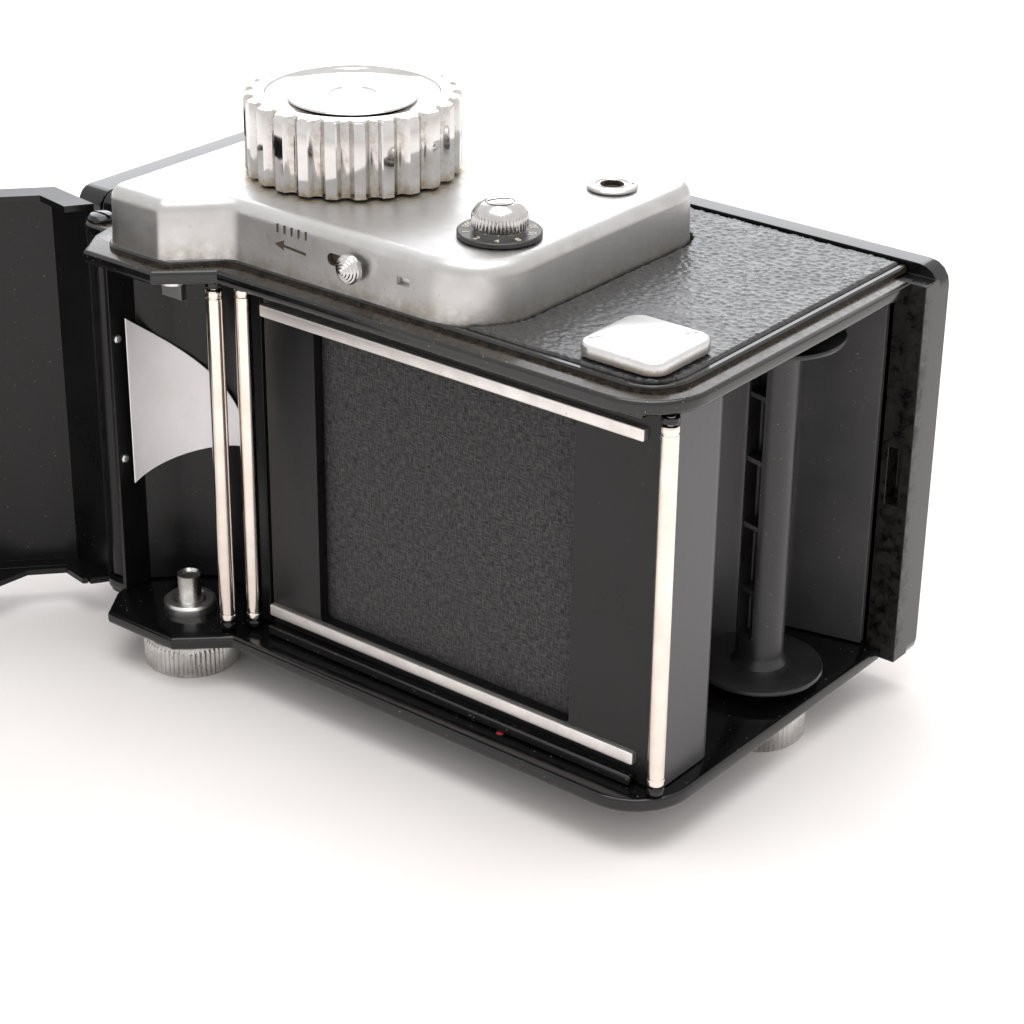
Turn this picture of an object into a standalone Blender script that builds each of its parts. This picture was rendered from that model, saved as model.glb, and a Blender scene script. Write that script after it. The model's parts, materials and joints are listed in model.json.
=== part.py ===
# Twin lens reflex camera for 6 x 6 cm frames on roll film, lying on its left side with the back open.
# X runs from the camera's top to its bottom, Y from its back to its lenses, Z from its left side to its right.
# Every size below is in millimetres from the middle of the film gate, and MM turns it into metres.
from math import cos, pi, radians, sin

import bmesh
import bpy
from mathutils import Matrix, Vector

MM = 0.001

# Where the middle of the film gate stands: this puts the frame's origin under the middle of the whole object.
GATE_PLACE = Vector((56.0, 20.4, 45.0))

FRAME_HALF = 28.0
PLATE_IN = 34.4
PLATE_OUT = 36.9
LEATHER_IN = 37.2
LEATHER_OUT = 38.5
FLOOR = -45.0
GAP = 0.3

TOP = -74.2
BOTTOM = 49.6
BACK = -5.3
BUMP_BACK = -12.9
SHELL_BACK = 71.0
SHELL_FRONT = 75.0
RIM_END = 66.6

HINGE = (-78.0, 0.0)
DOOR_OPEN = 132.0
DOOR_SKIN = 1.5

TAKEUP = (-58.5, -1.6)
SUPPLY = (38.0, 43.9)
ROLLERS = {"upper": (-46.9, -3.3), "middle": (-43.7, 0.4), "lower": (46.54, 0.55)}
ROLLER_R = 1.5

KNOB = (-39.7, 25.3)
KNOB_R = 19.0
HOUSING_TOP = 48.5
HOUSING_WALL = 1.2
DIAL = (1.75, 14.5)
SOCKET = (1.6, 45.7)
RESET = (-16.0, 43.3)
RESET_TRAVEL = 4.5

WIND_TEETH = 36
IDLER_TEETH = 22
SPINDLE_TEETH = 18

FOCUS = (-12.0, 45.0)
PINION_TEETH = 12
PINION_MODULE = 0.4

TAKING = (0.0, 0.0)
VIEWING = (-43.0, 0.0)

HOOD_TOP = -94.5
HOOD_SEAM = -88.5
HOOD_BACK = 9.6
HOOD_FRONT = 68.5
HOOD_PANEL = 22.0


# ---------------------------------------------------------------- materials

FINISHES = {
    "black_enamel": ((0.012, 0.012, 0.014), 0.22, 0.0),
    "matte_black": ((0.02, 0.02, 0.022), 0.65, 0.0),
    "leatherette": ((0.018, 0.018, 0.019), 0.42, 0.0),
    "satin_chrome": ((0.62, 0.61, 0.59), 0.32, 1.0),
    "bright_chrome": ((0.75, 0.74, 0.72), 0.14, 1.0),
    "polished_nickel": ((0.72, 0.68, 0.6), 0.18, 1.0),
    "spring_steel": ((0.66, 0.66, 0.68), 0.12, 1.0),
    "brass": ((0.6, 0.42, 0.18), 0.35, 1.0),
    "black_cloth": ((0.03, 0.03, 0.032), 0.9, 0.0),
    "black_plastic": ((0.015, 0.015, 0.016), 0.35, 0.0),
    "dial_black": ((0.01, 0.01, 0.011), 0.4, 0.0),
    "lens_glass": ((0.55, 0.6, 0.68), 0.02, 0.0),
    "screen_glass": ((0.75, 0.78, 0.78), 0.3, 0.0),
    "mirror_silver": ((0.85, 0.86, 0.88), 0.03, 1.0),
}


def finish(name):
    material = bpy.data.materials.get(name)
    if material:
        return material
    colour, roughness, metallic = FINISHES[name]
    material = bpy.data.materials.new(name)
    material.use_nodes = True
    shader = material.node_tree.nodes["Principled BSDF"]
    shader.inputs["Base Color"].default_value = (*colour, 1.0)
    shader.inputs["Roughness"].default_value = roughness
    shader.inputs["Metallic"].default_value = metallic
    material.diffuse_color = (*colour, 1.0)
    return material


# ---------------------------------------------------------------- outlines


def arc(centre, radius, start, end, steps):
    turns = [radians(start + (end - start) * i / steps) for i in range(steps + 1)]
    return [(centre[0] + radius * cos(t), centre[1] + radius * sin(t)) for t in turns]


def rounded(corners, steps=5):
    """Corners are (x, y, radius); each radius becomes an arc tangent to both sides."""
    points = []
    for i, (x, y, radius) in enumerate(corners):
        here = Vector((x, y))
        if radius == 0:
            points.append((x, y))
            continue
        before = (Vector(corners[i - 1][:2]) - here).normalized()
        after = (Vector(corners[(i + 1) % len(corners)][:2]) - here).normalized()
        half = before.angle(after) / 2
        middle = here + (before + after).normalized() * radius / sin(half)
        reach = radius * cos(half) / sin(half)
        first = here + before * reach - middle
        last = here + after * reach - middle
        sweep = first.angle_signed(last)
        for k in range(steps + 1):
            turn = first.copy()
            turn.rotate(Matrix.Rotation(-sweep * k / steps, 2))
            points.append(tuple(middle + turn))
    return points


def rectangle(low, high, radius=0.0, steps=4):
    corners = [(low[0], low[1]), (high[0], low[1]), (high[0], high[1]), (low[0], high[1])]
    return rounded([(x, y, radius) for x, y in corners], steps)


def offset_path(path, distance):
    """The open path moved sideways, to its left where distance is positive."""
    moved = []
    for i, point in enumerate(path):
        here = Vector(point)
        normals = []
        for a, b in ((i - 1, i), (i, i + 1)):
            if a < 0 or b >= len(path):
                continue
            along = (Vector(path[b]) - Vector(path[a])).normalized()
            normals.append(Vector((-along.y, along.x)))
        normal = sum(normals, Vector((0, 0))).normalized()
        moved.append(tuple(here + normal * distance / normal.dot(normals[0])))
    return moved


def ribbon(path, thickness):
    return offset_path(path, thickness / 2) + offset_path(path, -thickness / 2)[::-1]


def inset(outline, distance):
    """A closed outline moved inwards; the outline runs anticlockwise."""
    looped = [outline[-1], *outline, outline[0]]
    return offset_path(looped, distance)[1:-1]


def gear_outline(centre, teeth, module, facing, on_tooth=True):
    """A gear with a tooth, or a gap, in the middle of the direction facing (degrees)."""
    root = module * (teeth / 2 - 1.15)
    tip = module * (teeth / 2 + 0.8)
    pitch = 360 / teeth
    points = []
    for k in range(teeth):
        middle = facing + (k + (0 if on_tooth else 0.5)) * pitch
        for share, radius in ((-0.29, root), (-0.13, tip), (0.13, tip), (0.29, root)):
            turn = radians(middle + share * pitch)
            points.append((centre[0] + radius * cos(turn), centre[1] + radius * sin(turn)))
    return points


# ---------------------------------------------------------------- solids

AXES = {
    "X": lambda u, v, w: (w, u, v),
    "Y": lambda u, v, w: (u, w, v),
    "Z": lambda u, v, w: (u, v, w),
}


def prism(outline, low, high, axis="Z"):
    """An outline pushed along an axis. It is (y, z) for X, (x, z) for Y and (x, y) for Z."""
    mesh = bmesh.new()
    face = mesh.faces.new([mesh.verts.new(AXES[axis](u, v, low)) for u, v in outline])
    pushed = bmesh.ops.extrude_face_region(mesh, geom=[face])
    moved = [item for item in pushed["geom"] if isinstance(item, bmesh.types.BMVert)]
    bmesh.ops.translate(mesh, verts=moved, vec=AXES[axis](0, 0, high - low))
    bmesh.ops.recalc_face_normals(mesh, faces=mesh.faces)
    return mesh


def box(low, high):
    return prism(rectangle(low[:2], high[:2]), low[2], high[2])


def lathe(profile, centre, axis="Z", steps=24):
    """A profile of (radius, height) turned round an axis, closed on itself unless it starts on the axis."""
    mesh = bmesh.new()
    rings = []
    for radius, height in profile:
        turns = [2 * pi * i / steps for i in range(steps)] if radius else [0.0]
        places = [(centre[0] + radius * cos(t), centre[1] + radius * sin(t)) for t in turns]
        rings.append([mesh.verts.new(AXES[axis](u, v, height)) for u, v in places])
    pairs = list(zip(rings, rings[1:]))
    if profile[0][0]:
        pairs.append((rings[-1], rings[0]))
    for one, other in pairs:
        for i in range(steps):
            j = (i + 1) % steps
            corners = [one[i % len(one)], one[j % len(one)], other[j % len(other)], other[i % len(other)]]
            unique = list(dict.fromkeys(corners))
            if len(unique) > 2:
                mesh.faces.new(unique)
    bmesh.ops.recalc_face_normals(mesh, faces=mesh.faces)
    return mesh


def cylinder(centre, radius, low, high, axis="Z", steps=24):
    return lathe([(0, low), (radius, low), (radius, high), (0, high)], centre, axis, steps)


def bevel_rim(mesh, height, size, segments=2):
    """Rounds the edge of a prism's face at this height along Z."""
    edges = [e for e in mesh.edges if all(abs(v.co.z - height) < 1e-4 for v in e.verts)]
    bmesh.ops.bevel(mesh, geom=edges, offset=size, segments=segments, profile=0.5, affect="EDGES")
    return mesh


# ---------------------------------------------------------------- objects


def add_object(name, mesh, pivot, parent):
    bmesh.ops.translate(mesh, verts=mesh.verts, vec=-Vector(pivot))
    bmesh.ops.scale(mesh, verts=mesh.verts, vec=(MM, MM, MM))
    data = bpy.data.meshes.new(name)
    mesh.to_mesh(data)
    mesh.free()
    item = bpy.data.objects.new(name, data)
    bpy.context.scene.collection.objects.link(item)
    item.parent = parent
    item.location = Vector(pivot) * MM
    if parent and parent.name != "gate_middle":
        item.location -= parent.location
    return item


def piece(name, base, look, pivot=(0, 0, 0), parent=None, add=(), cut=()):
    """One named piece: a base solid with others joined to it or cut from it by Booleans."""
    parent = parent or bpy.data.objects["gate_middle"]
    item = add_object(name, base, pivot, parent)
    item.data.materials.append(finish(look))
    for operation, helpers in (("UNION", add), ("DIFFERENCE", cut)):
        for i, helper_mesh in enumerate(helpers):
            helper = add_object(f"{name}.{operation.lower()}{i}", helper_mesh, pivot, parent)
            helper.hide_render = True
            helper.display_type = "WIRE"
            change = item.modifiers.new(f"{operation.lower()}{i}", "BOOLEAN")
            change.operation = operation
            change.solver = "EXACT"
            change.object = helper
    return item


def empty(name, place, parent):
    item = bpy.data.objects.new(name, None)
    bpy.context.scene.collection.objects.link(item)
    item.parent = parent
    item.location = Vector(place) * MM
    return item


# ---------------------------------------------------------------- body


def plate_outline():
    ear = arc(HINGE, 3.0, 90, 270, 6)
    corners = [
        (-74.0, -3.0, 0),
        (-73.1, -6.5, 0),
        (-68.9, BUMP_BACK, 0),
        (-52.2, BUMP_BACK, 0),
        (-44.1, BACK, 0),
        (BOTTOM, BACK, 11.5),
        (BOTTOM, RIM_END, 0),
        (46.2, RIM_END, 0),
        (46.2, SHELL_BACK - GAP, 0),
        (TOP, SHELL_BACK - GAP, 0),
        (TOP, 3.0, 0),
    ]
    return ear + rounded(corners, 8)


def side_plates():
    pin_hole = cylinder(HINGE, 0.9, PLATE_IN - 1, PLATE_OUT + 1, steps=12)
    spindle_hole = cylinder(TAKEUP, 3.1, PLATE_IN - 1, PLATE_OUT + 1)
    plate = prism(plate_outline(), PLATE_IN, PLATE_OUT)
    piece("right_side_plate", plate, "black_enamel", cut=[pin_hole, spindle_hole])
    plate = prism(plate_outline(), -PLATE_OUT, -PLATE_IN)
    collar = cylinder(TAKEUP, 4.9, -PLATE_IN - 0.5, -PLATE_IN + 2)
    holes = [cylinder(HINGE, 0.9, -PLATE_OUT - 1, -PLATE_IN + 1, steps=12)]
    holes += [cylinder(at, 2.85, -PLATE_OUT - 1, -PLATE_IN + 3, steps=28) for at in (TAKEUP, SUPPLY)]
    holes.append(cylinder(FOCUS, 2.6, -PLATE_OUT - 1, -PLATE_IN + 1))
    piece("left_side_plate", plate, "black_enamel", add=[collar], cut=holes)


def side_leathers():
    right = rounded(
        [(12.4, 0.4, 0), (46.2, 0.4, 7), (46.2, 70.5, 0), (-73.6, 70.5, 0), (-73.6, 61, 0), (12.4, 61, 0)]
    )
    piece("right_leather", prism(right, LEATHER_IN, LEATHER_OUT), "leatherette")
    left = rounded([(-73.6, 0.4, 0), (46.2, 0.4, 7), (46.2, 70.5, 0), (-73.6, 70.5, 0)])
    holes = [cylinder(at, 4.0, -LEATHER_OUT - 1, -LEATHER_IN + 1) for at in (TAKEUP, SUPPLY, FOCUS)]
    piece("left_leather", prism(left, -LEATHER_OUT, -LEATHER_IN), "leatherette", cut=holes)


def film_gate():
    """The painted frame round the gate, with two machined rails on each side that the film runs on."""
    frame = box((-39.7, 1.2, -34.1), (44.8, 3.3, 34.1))
    rails = []
    for side in (-1, 1):
        for near, far, top in ((28.1, 30.4, 0.0), (32.2, 34.0, -0.6)):
            low, high = sorted((side * near, side * far))
            rails.append(box((-39.5, top, low), (42.0, 2.0, high)))
    hole = box((-FRAME_HALF, -2, -FRAME_HALF), (FRAME_HALF, 5, FRAME_HALF))
    piece("film_gate", frame, "matte_black", add=rails, cut=[hole])


def dark_chamber():
    """The tapered box between the gate and the taking lens, open at both ends."""
    mesh = bmesh.new()
    loops = []
    for half, y in ((31.0, 4.5), (16.5, 57.0), (15.3, 57.0), (29.5, 4.5)):
        corners = ((-half, -half), (half, -half), (half, half), (-half, half))
        loops.append([mesh.verts.new((x, y, z)) for x, z in corners])
    for one, other in zip(loops, loops[1:] + loops[:1]):
        for i in range(4):
            j = (i + 1) % 4
            mesh.faces.new([one[i], one[j], other[j], other[i]])
    bmesh.ops.recalc_face_normals(mesh, faces=mesh.faces)
    piece("dark_chamber", mesh, "matte_black")


def blind():
    """The cloth blind behind the gate, and the roller that it winds on."""
    piece("gate_blind", box((-35.5, 3.7, -30.2), (32.0, 4.15, 30.2)), "black_cloth")
    middle = (-35.5, 7.3)
    roller = cylinder(middle, 2.8, -33.0, 33.0, steps=16)
    piece("blind_roller", roller, "satin_chrome", pivot=(*middle, 0))


def film_chambers():
    supply = [(45.8, 3.0), (45.8, 15.0), (42.0, 18.6), (33.0, 24.0), (25.8, 33.0), (23.8, 44.0)]
    supply += [(25.8, 55.0), (31.0, 63.0), (46.0, 66.3)]
    piece("supply_chamber_wall", prism(ribbon(supply, 1.6), -34.1, 34.1), "matte_black")
    takeup = [(-72.4, -5.0), (-72.4, 1.5), *arc(TAKEUP, 12.6, 155, 28, 9), (-42.0, 3.4)]
    piece("takeup_chamber_wall", prism(ribbon(takeup, 0.9), -34.1, 34.1), "matte_black")


def leaf_springs():
    """Thin bent strips that keep the film from uncurling in each chamber."""
    takeup = arc(TAKEUP, 11.6, 152, 62, 8)
    piece("takeup_leaf_spring", prism(ribbon(takeup, 0.3), -21, 15), "spring_steel")
    supply = [(39.4, 22.4), (35.0, 25.4), (29.4, 31.6), (26.4, 38.0)]
    piece("supply_leaf_spring", prism(ribbon(supply, 0.3), -12, 20), "spring_steel")


def film_rollers():
    for name, (x, y) in ROLLERS.items():
        roller = cylinder((x, y), ROLLER_R, -33.9, 33.9, steps=12)
        piece(f"{name}_film_roller", roller, "polished_nickel", pivot=(x, y, 0))


def front_shell():
    outline = rectangle((-74.0, -38.7), (52.5, 38.7), 4.0)
    lip = box((46.5, RIM_END + GAP, -36.5), (52.5, SHELL_BACK + 0.5, 36.5))
    opening = box((-62.0, SHELL_BACK - 1, -25.0), (26.0, SHELL_FRONT + 1, 25.0))
    pocket = box((47.9, RIM_END - 1, -5.5), (50.4, SHELL_BACK - 0.5, 5.5))
    shell = prism(outline, SHELL_BACK, SHELL_FRONT, "Y")
    piece("front_shell", shell, "black_enamel", add=[lip], cut=[opening, pocket])


def finder_optics():
    deck = box((-74.0, 11.0, -34.1), (-72.4, 70.6, 34.1))
    window = box((-75.0, 13.0, -26.5), (-71.0, 61.0, 26.5))
    piece("top_deck", deck, "black_enamel", cut=[window])
    piece("focusing_screen", box((-72.0, 9.8, -28.5), (-70.2, 63.5, 28.5)), "screen_glass")
    mirror = [(-67.0, 12.0), (-65.6, 10.6), (-17.6, 58.6), (-19.0, 60.0)]
    piece("viewing_mirror", prism(mirror, -28.0, 28.0), "mirror_silver")


# ---------------------------------------------------------------- winding side


def housing_outline():
    corners = [
        (-67.0, -9.9, 4),
        (-52.5, -9.9, 3),
        (-44.5, -1.4, 5),
        (12.0, -1.4, 12),
        (12.0, 60.6, 8),
        (-67.0, 60.6, 6),
    ]
    return rounded(corners, 5)


def wind_housing():
    outline = housing_outline()
    shell = bevel_rim(prism(outline, LEATHER_IN, HOUSING_TOP), HOUSING_TOP, 2.2, 3)
    hollow = prism(inset(outline, HOUSING_WALL), LEATHER_IN - 1, HOUSING_TOP - 1.6)
    holes = [
        cylinder(KNOB, 3.1, 40, 50),
        cylinder(DIAL, 2.3, 40, 50, steps=16),
        cylinder(SOCKET, 3.2, 40, 50, steps=16),
        box((RESET[0] - RESET_TRAVEL - 1, -3.0, RESET[1] - 0.9), (RESET[0] + 1.1, 1.0, RESET[1] + 0.9)),
    ]
    piece("wind_housing", shell, "satin_chrome", cut=[hollow, *holes])


def wind_knob():
    flutes = 24
    points = []
    for k in range(flutes):
        for share, radius in ((-0.5, 17.5), (-0.34, 18.3), (-0.24, KNOB_R), (0.24, KNOB_R), (0.34, 18.3)):
            turn = 2 * pi * (k + share) / flutes
            points.append((KNOB[0] + radius * cos(turn), KNOB[1] + radius * sin(turn)))
    knob = prism(points, HOUSING_TOP + GAP, 62.5)
    dish = lathe([(0, 61.3), (14.0, 61.3), (15.2, 63.5), (0, 63.5)], KNOB, steps=32)
    piece("wind_knob", knob, "bright_chrome", pivot=(*KNOB, HOUSING_TOP), cut=[dish])


def gear_train():
    """The knob's gear turns the spindle's through an idler; all three centres are on one line."""
    across = Vector(TAKEUP) - Vector(KNOB)
    module = across.length / (WIND_TEETH / 2 + IDLER_TEETH + SPINDLE_TEETH / 2)
    facing = -across.angle_signed(Vector((1, 0))) * -180 / pi
    idler = Vector(KNOB) + across.normalized() * module * (WIND_TEETH + IDLER_TEETH) / 2
    low, high = 39.2, 42.8
    wheel = prism(gear_outline(KNOB, WIND_TEETH, module, facing), low, high)
    shaft = cylinder(KNOB, 3.0, 37.4, HOUSING_TOP, steps=24)
    piece("wind_gear", wheel, "brass", pivot=(*KNOB, 0), add=[shaft])
    wheel = prism(gear_outline(idler, IDLER_TEETH, module, facing + 180, False), low, high)
    hub = cylinder(idler, 2.2, 37.4, 46.2, steps=16)
    piece("idler_gear", wheel, "brass", pivot=(*idler, 0), add=[hub])
    wheel = prism(gear_outline(TAKEUP, SPINDLE_TEETH, module, facing + 180), low, high)
    shaft = cylinder(TAKEUP, 3.0, 30.5, 46.2)
    blade = box((TAKEUP[0] - 2.4, TAKEUP[1] - 0.6, 27.5), (TAKEUP[0] + 2.4, TAKEUP[1] + 0.6, 31.0))
    piece("takeup_spindle", wheel, "satin_chrome", pivot=(*TAKEUP, 0), add=[shaft, blade])


def speed_dial():
    profile = [(0, 45.0), (2.2, 45.0), (2.2, 48.8), (7.1, 48.8), (7.1, 49.6), (4.7, 49.6)]
    profile += [(4.7, 53.0), (4.1, 54.1), (2.2, 54.8), (0, 55.0)]
    piece("speed_dial", lathe(profile, DIAL), "dial_black", pivot=(*DIAL, 0))


def release_socket():
    profile = [(2.1, 44.5), (3.1, 44.5), (3.1, 48.8), (4.5, 48.8), (4.5, 49.3), (2.1, 49.3)]
    piece("release_socket", lathe(profile, SOCKET, steps=16), "bright_chrome")


def reset_button():
    profile = [(0, -5.0), (1.0, -5.0), (1.2, -4.6), (2.5, -3.9), (2.5, -1.8), (0.7, -1.8), (0.7, 0.8), (0, 0.8)]
    piece("reset_button", lathe(profile, RESET, "Y", 16), "bright_chrome", pivot=(RESET[0], 0, RESET[1]))


def square_cap():
    cap = bevel_rim(prism(rectangle((27.3, 0.8), (43.6, 17.3), 3.0), LEATHER_OUT + GAP, 41.0), 41.0, 0.6, 1)
    piece("square_cap", cap, "satin_chrome")


# ---------------------------------------------------------------- spools and their knobs


def supply_spool():
    profile = [(0, -28.0), (2.5, -28.0), (2.5, -32.2), (11.5, -32.2), (11.5, -31.0), (4.3, -31.0)]
    profile += [(radius, -height) for radius, height in reversed(profile)]
    slot = box((-6.0, -0.8, -24.0), (6.0, 0.8, 24.0))
    bmesh.ops.rotate(slot, verts=slot.verts, cent=(0, 0, 0), matrix=Matrix.Rotation(radians(20), 3, "Z"))
    bmesh.ops.translate(slot, verts=slot.verts, vec=(*SUPPLY, 0))
    spool = lathe(profile, SUPPLY, steps=28)
    piece("supply_spool", spool, "black_plastic", pivot=(*SUPPLY, 0), cut=[slot])
    stub = cylinder(SUPPLY, 2.2, 29.0, 34.1, steps=16)
    piece("supply_stub_pin", stub, "satin_chrome")


def pull_knobs():
    """Each left knob pulls its pin out of the spool, and all of them reach the floor."""
    for name, at, reach in (("takeup", TAKEUP, -28.0), ("supply", SUPPLY, -29.0)):
        head = -LEATHER_OUT - 0.4
        profile = [(0, FLOOR), (8.4, FLOOR), (9.0, FLOOR + 0.7), (9.0, head), (2.75, head)]
        profile += [(2.75, -33.0), (2.2, -32.0), (2.2, reach), (0, reach)]
        piece(f"{name}_pull_knob", lathe(profile, at), "satin_chrome", pivot=(*at, 0))


# ---------------------------------------------------------------- back


def door_parts():
    """The back is drawn closed and turned about its hinge to stand open."""
    hinge = empty("door_hinge", (*HINGE, 0), bpy.data.objects["gate_middle"])
    hinge.rotation_euler.z = -radians(DOOR_OPEN)

    def door_piece(name, base, look, **changes):
        return piece(name, base, look, pivot=(*HINGE, 0), parent=hinge, **changes)

    inner = [(-75.6, -3.6, 0), (-73.5, -6.8, 0), (-69.2, -13.3, 0), (-52.0, -13.3, 0), (-43.9, -5.7, 0)]
    inner = rounded([*inner, (50.0, -5.7, 11.9), (50.0, 66.5, 0)], 8)[:-1]
    inner.append((50.0, 66.5))
    outer = offset_path(inner, -DOOR_SKIN)
    rim = [(46.6, 66.5, 0), (46.6, -1.8, 8), (-44.3, -1.8, 0), (-52.3, -10.3, 0), (-67.3, -10.3, 0)]
    rim = rounded([*rim, (-71.6, -3.6, 0)], 8)
    case = prism(outer + rim, -38.4, 38.4)
    inside = prism([*inner, (30.0, 66.6), (30.0, 20.0), (-60.0, 20.0), (-70.0, -3.5)], -37.2, 37.2)
    left_rim = [(-71.0, -3.9), (-68.6, -11.5), (-51.5, -11.5), (-43.6, -3.2), (-43.2, -1.85)]
    left_rim += [(-50.0, -1.85), (-59.5, -8.9), (-66.9, -8.9), (-70.0, -3.9)]
    left_rim = prism(left_rim, -38.35, -37.25)
    leaf = prism([(-77.0, 1.5), (-79.4, -1.0), outer[0], (-75.9, -5.0), inner[0]], -34.0, 34.0)
    barrel = cylinder(HINGE, 2.0, -34.0, 34.0, steps=16)
    pin_hole = cylinder(HINGE, 0.9, -35.0, 35.0, steps=12)
    socket_hole = cylinder((30.0, 0.0), 5.0, 47.0, 53.0, "X")
    latch_slot = box((47.0, 52.6, -2.4), (53.0, 61.0, 2.4))
    cuts = [inside, pin_hole, socket_hole, latch_slot]
    door_piece("back_door", case, "black_enamel", add=[barrel, leaf, left_rim], cut=cuts)
    door_piece("door_leather", box((-41.5, -8.2, -36.5), (36.0, -7.5, 36.5)), "leatherette")
    door_piece("pressure_plate", box((-36.0, -2.4, -33.6), (41.0, -1.0, 33.6)), "matte_black")
    strip = [(-24.0, -5.1), (-18.0, -5.1), (-6.0, -4.0), (8.0, -4.0), (20.0, -5.1), (26.0, -5.1)]
    door_piece("pressure_spring", prism(ribbon(strip, 0.35), -6, 6), "spring_steel")
    profile = [(3.2, 48.6), (4.8, 48.6), (4.8, 51.8), (9.0, 51.8), (9.0, 54.0), (3.2, 54.0)]
    door_piece("tripod_socket", lathe(profile, (30.0, 0.0), "X"), "satin_chrome")
    thumb = box((51.8, 52.0, -7.0), (53.6, 60.0, 7.0))
    neck = box((49.0, 53.0, -2.0), (52.4, 57.0, 2.0))
    bolt = box((48.2, 50.0, -4.5), (49.6, 66.0, 4.5))
    door_piece("back_latch", thumb, "satin_chrome", add=[neck, bolt])
    pin = cylinder(HINGE, 0.8, -PLATE_OUT, PLATE_OUT, steps=12)
    piece("hinge_pin", pin, "satin_chrome")


# ---------------------------------------------------------------- lenses and focusing


def focusing():
    knob = lathe([(0, FLOOR), (16.2, FLOOR), (17.0, FLOOR + 0.8), (17.0, -38.9), (0, -38.9)], FOCUS, steps=32)
    piece("focus_knob", knob, "satin_chrome", pivot=(*FOCUS, 0))
    wheel = prism(gear_outline(FOCUS, PINION_TEETH, PINION_MODULE, 0), -30.5, -25.0)
    shaft = cylinder(FOCUS, 2.5, -38.6, -31.5, steps=16)
    neck = cylinder(FOCUS, 1.6, -32.0, -30.0, steps=12)
    piece("focus_pinion", wheel, "brass", pivot=(*FOCUS, 0), add=[shaft, neck])

    pitch = pi * PINION_MODULE
    line = FOCUS[0] + PINION_MODULE * PINION_TEETH / 2
    tip, root = line - 0.8 * PINION_MODULE, line + 1.15 * PINION_MODULE
    rack = [(root + 2.6, 31.0), (root + 2.6, 60.5), (root, 60.5)]
    for k in range(6, -10, -1):
        middle = FOCUS[1] + (k + 0.5) * pitch
        for share, x in ((0.29, root), (0.13, tip), (-0.13, tip), (-0.29, root)):
            rack.append((x, middle + share * pitch))
    rack.append((root, 31.0))
    foot = box((root, 55.0, -26.0), (root + 2.6, 60.5, -22.5))
    piece("focus_rack", prism(rack, -30.0, -25.3), "brass", add=[foot])


def lens_board():
    board = prism(rectangle((-64.0, -27.0), (28.0, 27.0), 8.0), 75.4, 78.4, "Y")
    skirt = prism(rectangle((-61.5, -24.5), (25.5, 24.5)), 61.0, 76.0, "Y")
    inside = prism(rectangle((-60.0, -23.0), (24.0, 23.0)), 60.0, 75.9, "Y")
    holes = [
        cylinder(TAKING, 14.0, 74.0, 80.0, "Y", 32),
        cylinder(VIEWING, 15.0, 74.0, 80.0, "Y", 32),
        cylinder((21.5, 20.5), 2.0, 74.0, 80.0, "Y", 12),
    ]
    piece("lens_board", board, "black_enamel", add=[skirt], cut=[inside, *holes])


def shutter():
    profile = [(14.0, 78.7), (23.5, 78.7), (23.5, 88.4), (21.5, 90.0), (14.0, 90.0)]
    piece("shutter_housing", lathe(profile, TAKING, "Y", 32), "satin_chrome")
    profile = [(23.9, 81.2), (25.4, 81.2), (25.4, 85.0), (23.9, 85.0)]
    piece("speed_ring", lathe(profile, TAKING, "Y", 32), "bright_chrome")
    for name, middle, reach, low, high in (
        ("cocking_lever", -35, 31.0, 79.0, 80.6),
        ("aperture_lever", 80, 28.5, 85.6, 87.2),
    ):
        sector = arc(TAKING, 24.2, middle - 9, middle + 9, 3)
        sector += [*arc(TAKING, reach, middle + 4, middle - 4, 2)]
        piece(name, prism(sector, low, high, "Y"), "bright_chrome")
    profile = [(0, 72.0), (1.8, 72.0), (1.8, 81.2), (3.0, 81.2), (3.0, 84.1), (2.5, 84.6), (0, 84.6)]
    button = lathe(profile, (21.5, 20.5), "Y", 16)
    piece("release_button", button, "bright_chrome", pivot=(21.5, 0, 20.5))


def lenses():
    profile = [(10.5, 66.0), (13.7, 66.0), (13.7, 90.3), (16.0, 90.3), (16.0, 99.0), (14.8, 100.0)]
    profile += [(13.2, 99.0), (10.5, 95.0)]
    piece("taking_lens_barrel", lathe(profile, TAKING, "Y", 32), "black_enamel")
    profile = [(11.0, 66.0), (14.7, 66.0), (14.7, 78.7), (16.6, 78.7), (16.6, 95.0), (15.2, 96.0)]
    profile += [(13.4, 95.0), (11.0, 90.0)]
    piece("viewing_lens_barrel", lathe(profile, VIEWING, "Y", 32), "black_enamel")
    for name, at, radius, rear in (("taking", TAKING, 10.1, 91.0), ("viewing", VIEWING, 10.6, 86.0)):
        front = [(radius * k / 3, rear + 2 + 1.6 * (1 - (k / 3) ** 2)) for k in range(4)]
        profile = [*front, (radius, rear), (0, rear)]
        piece(f"{name}_lens_glass", lathe(profile, at, "Y", 28), "lens_glass")


# ---------------------------------------------------------------- hood


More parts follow.
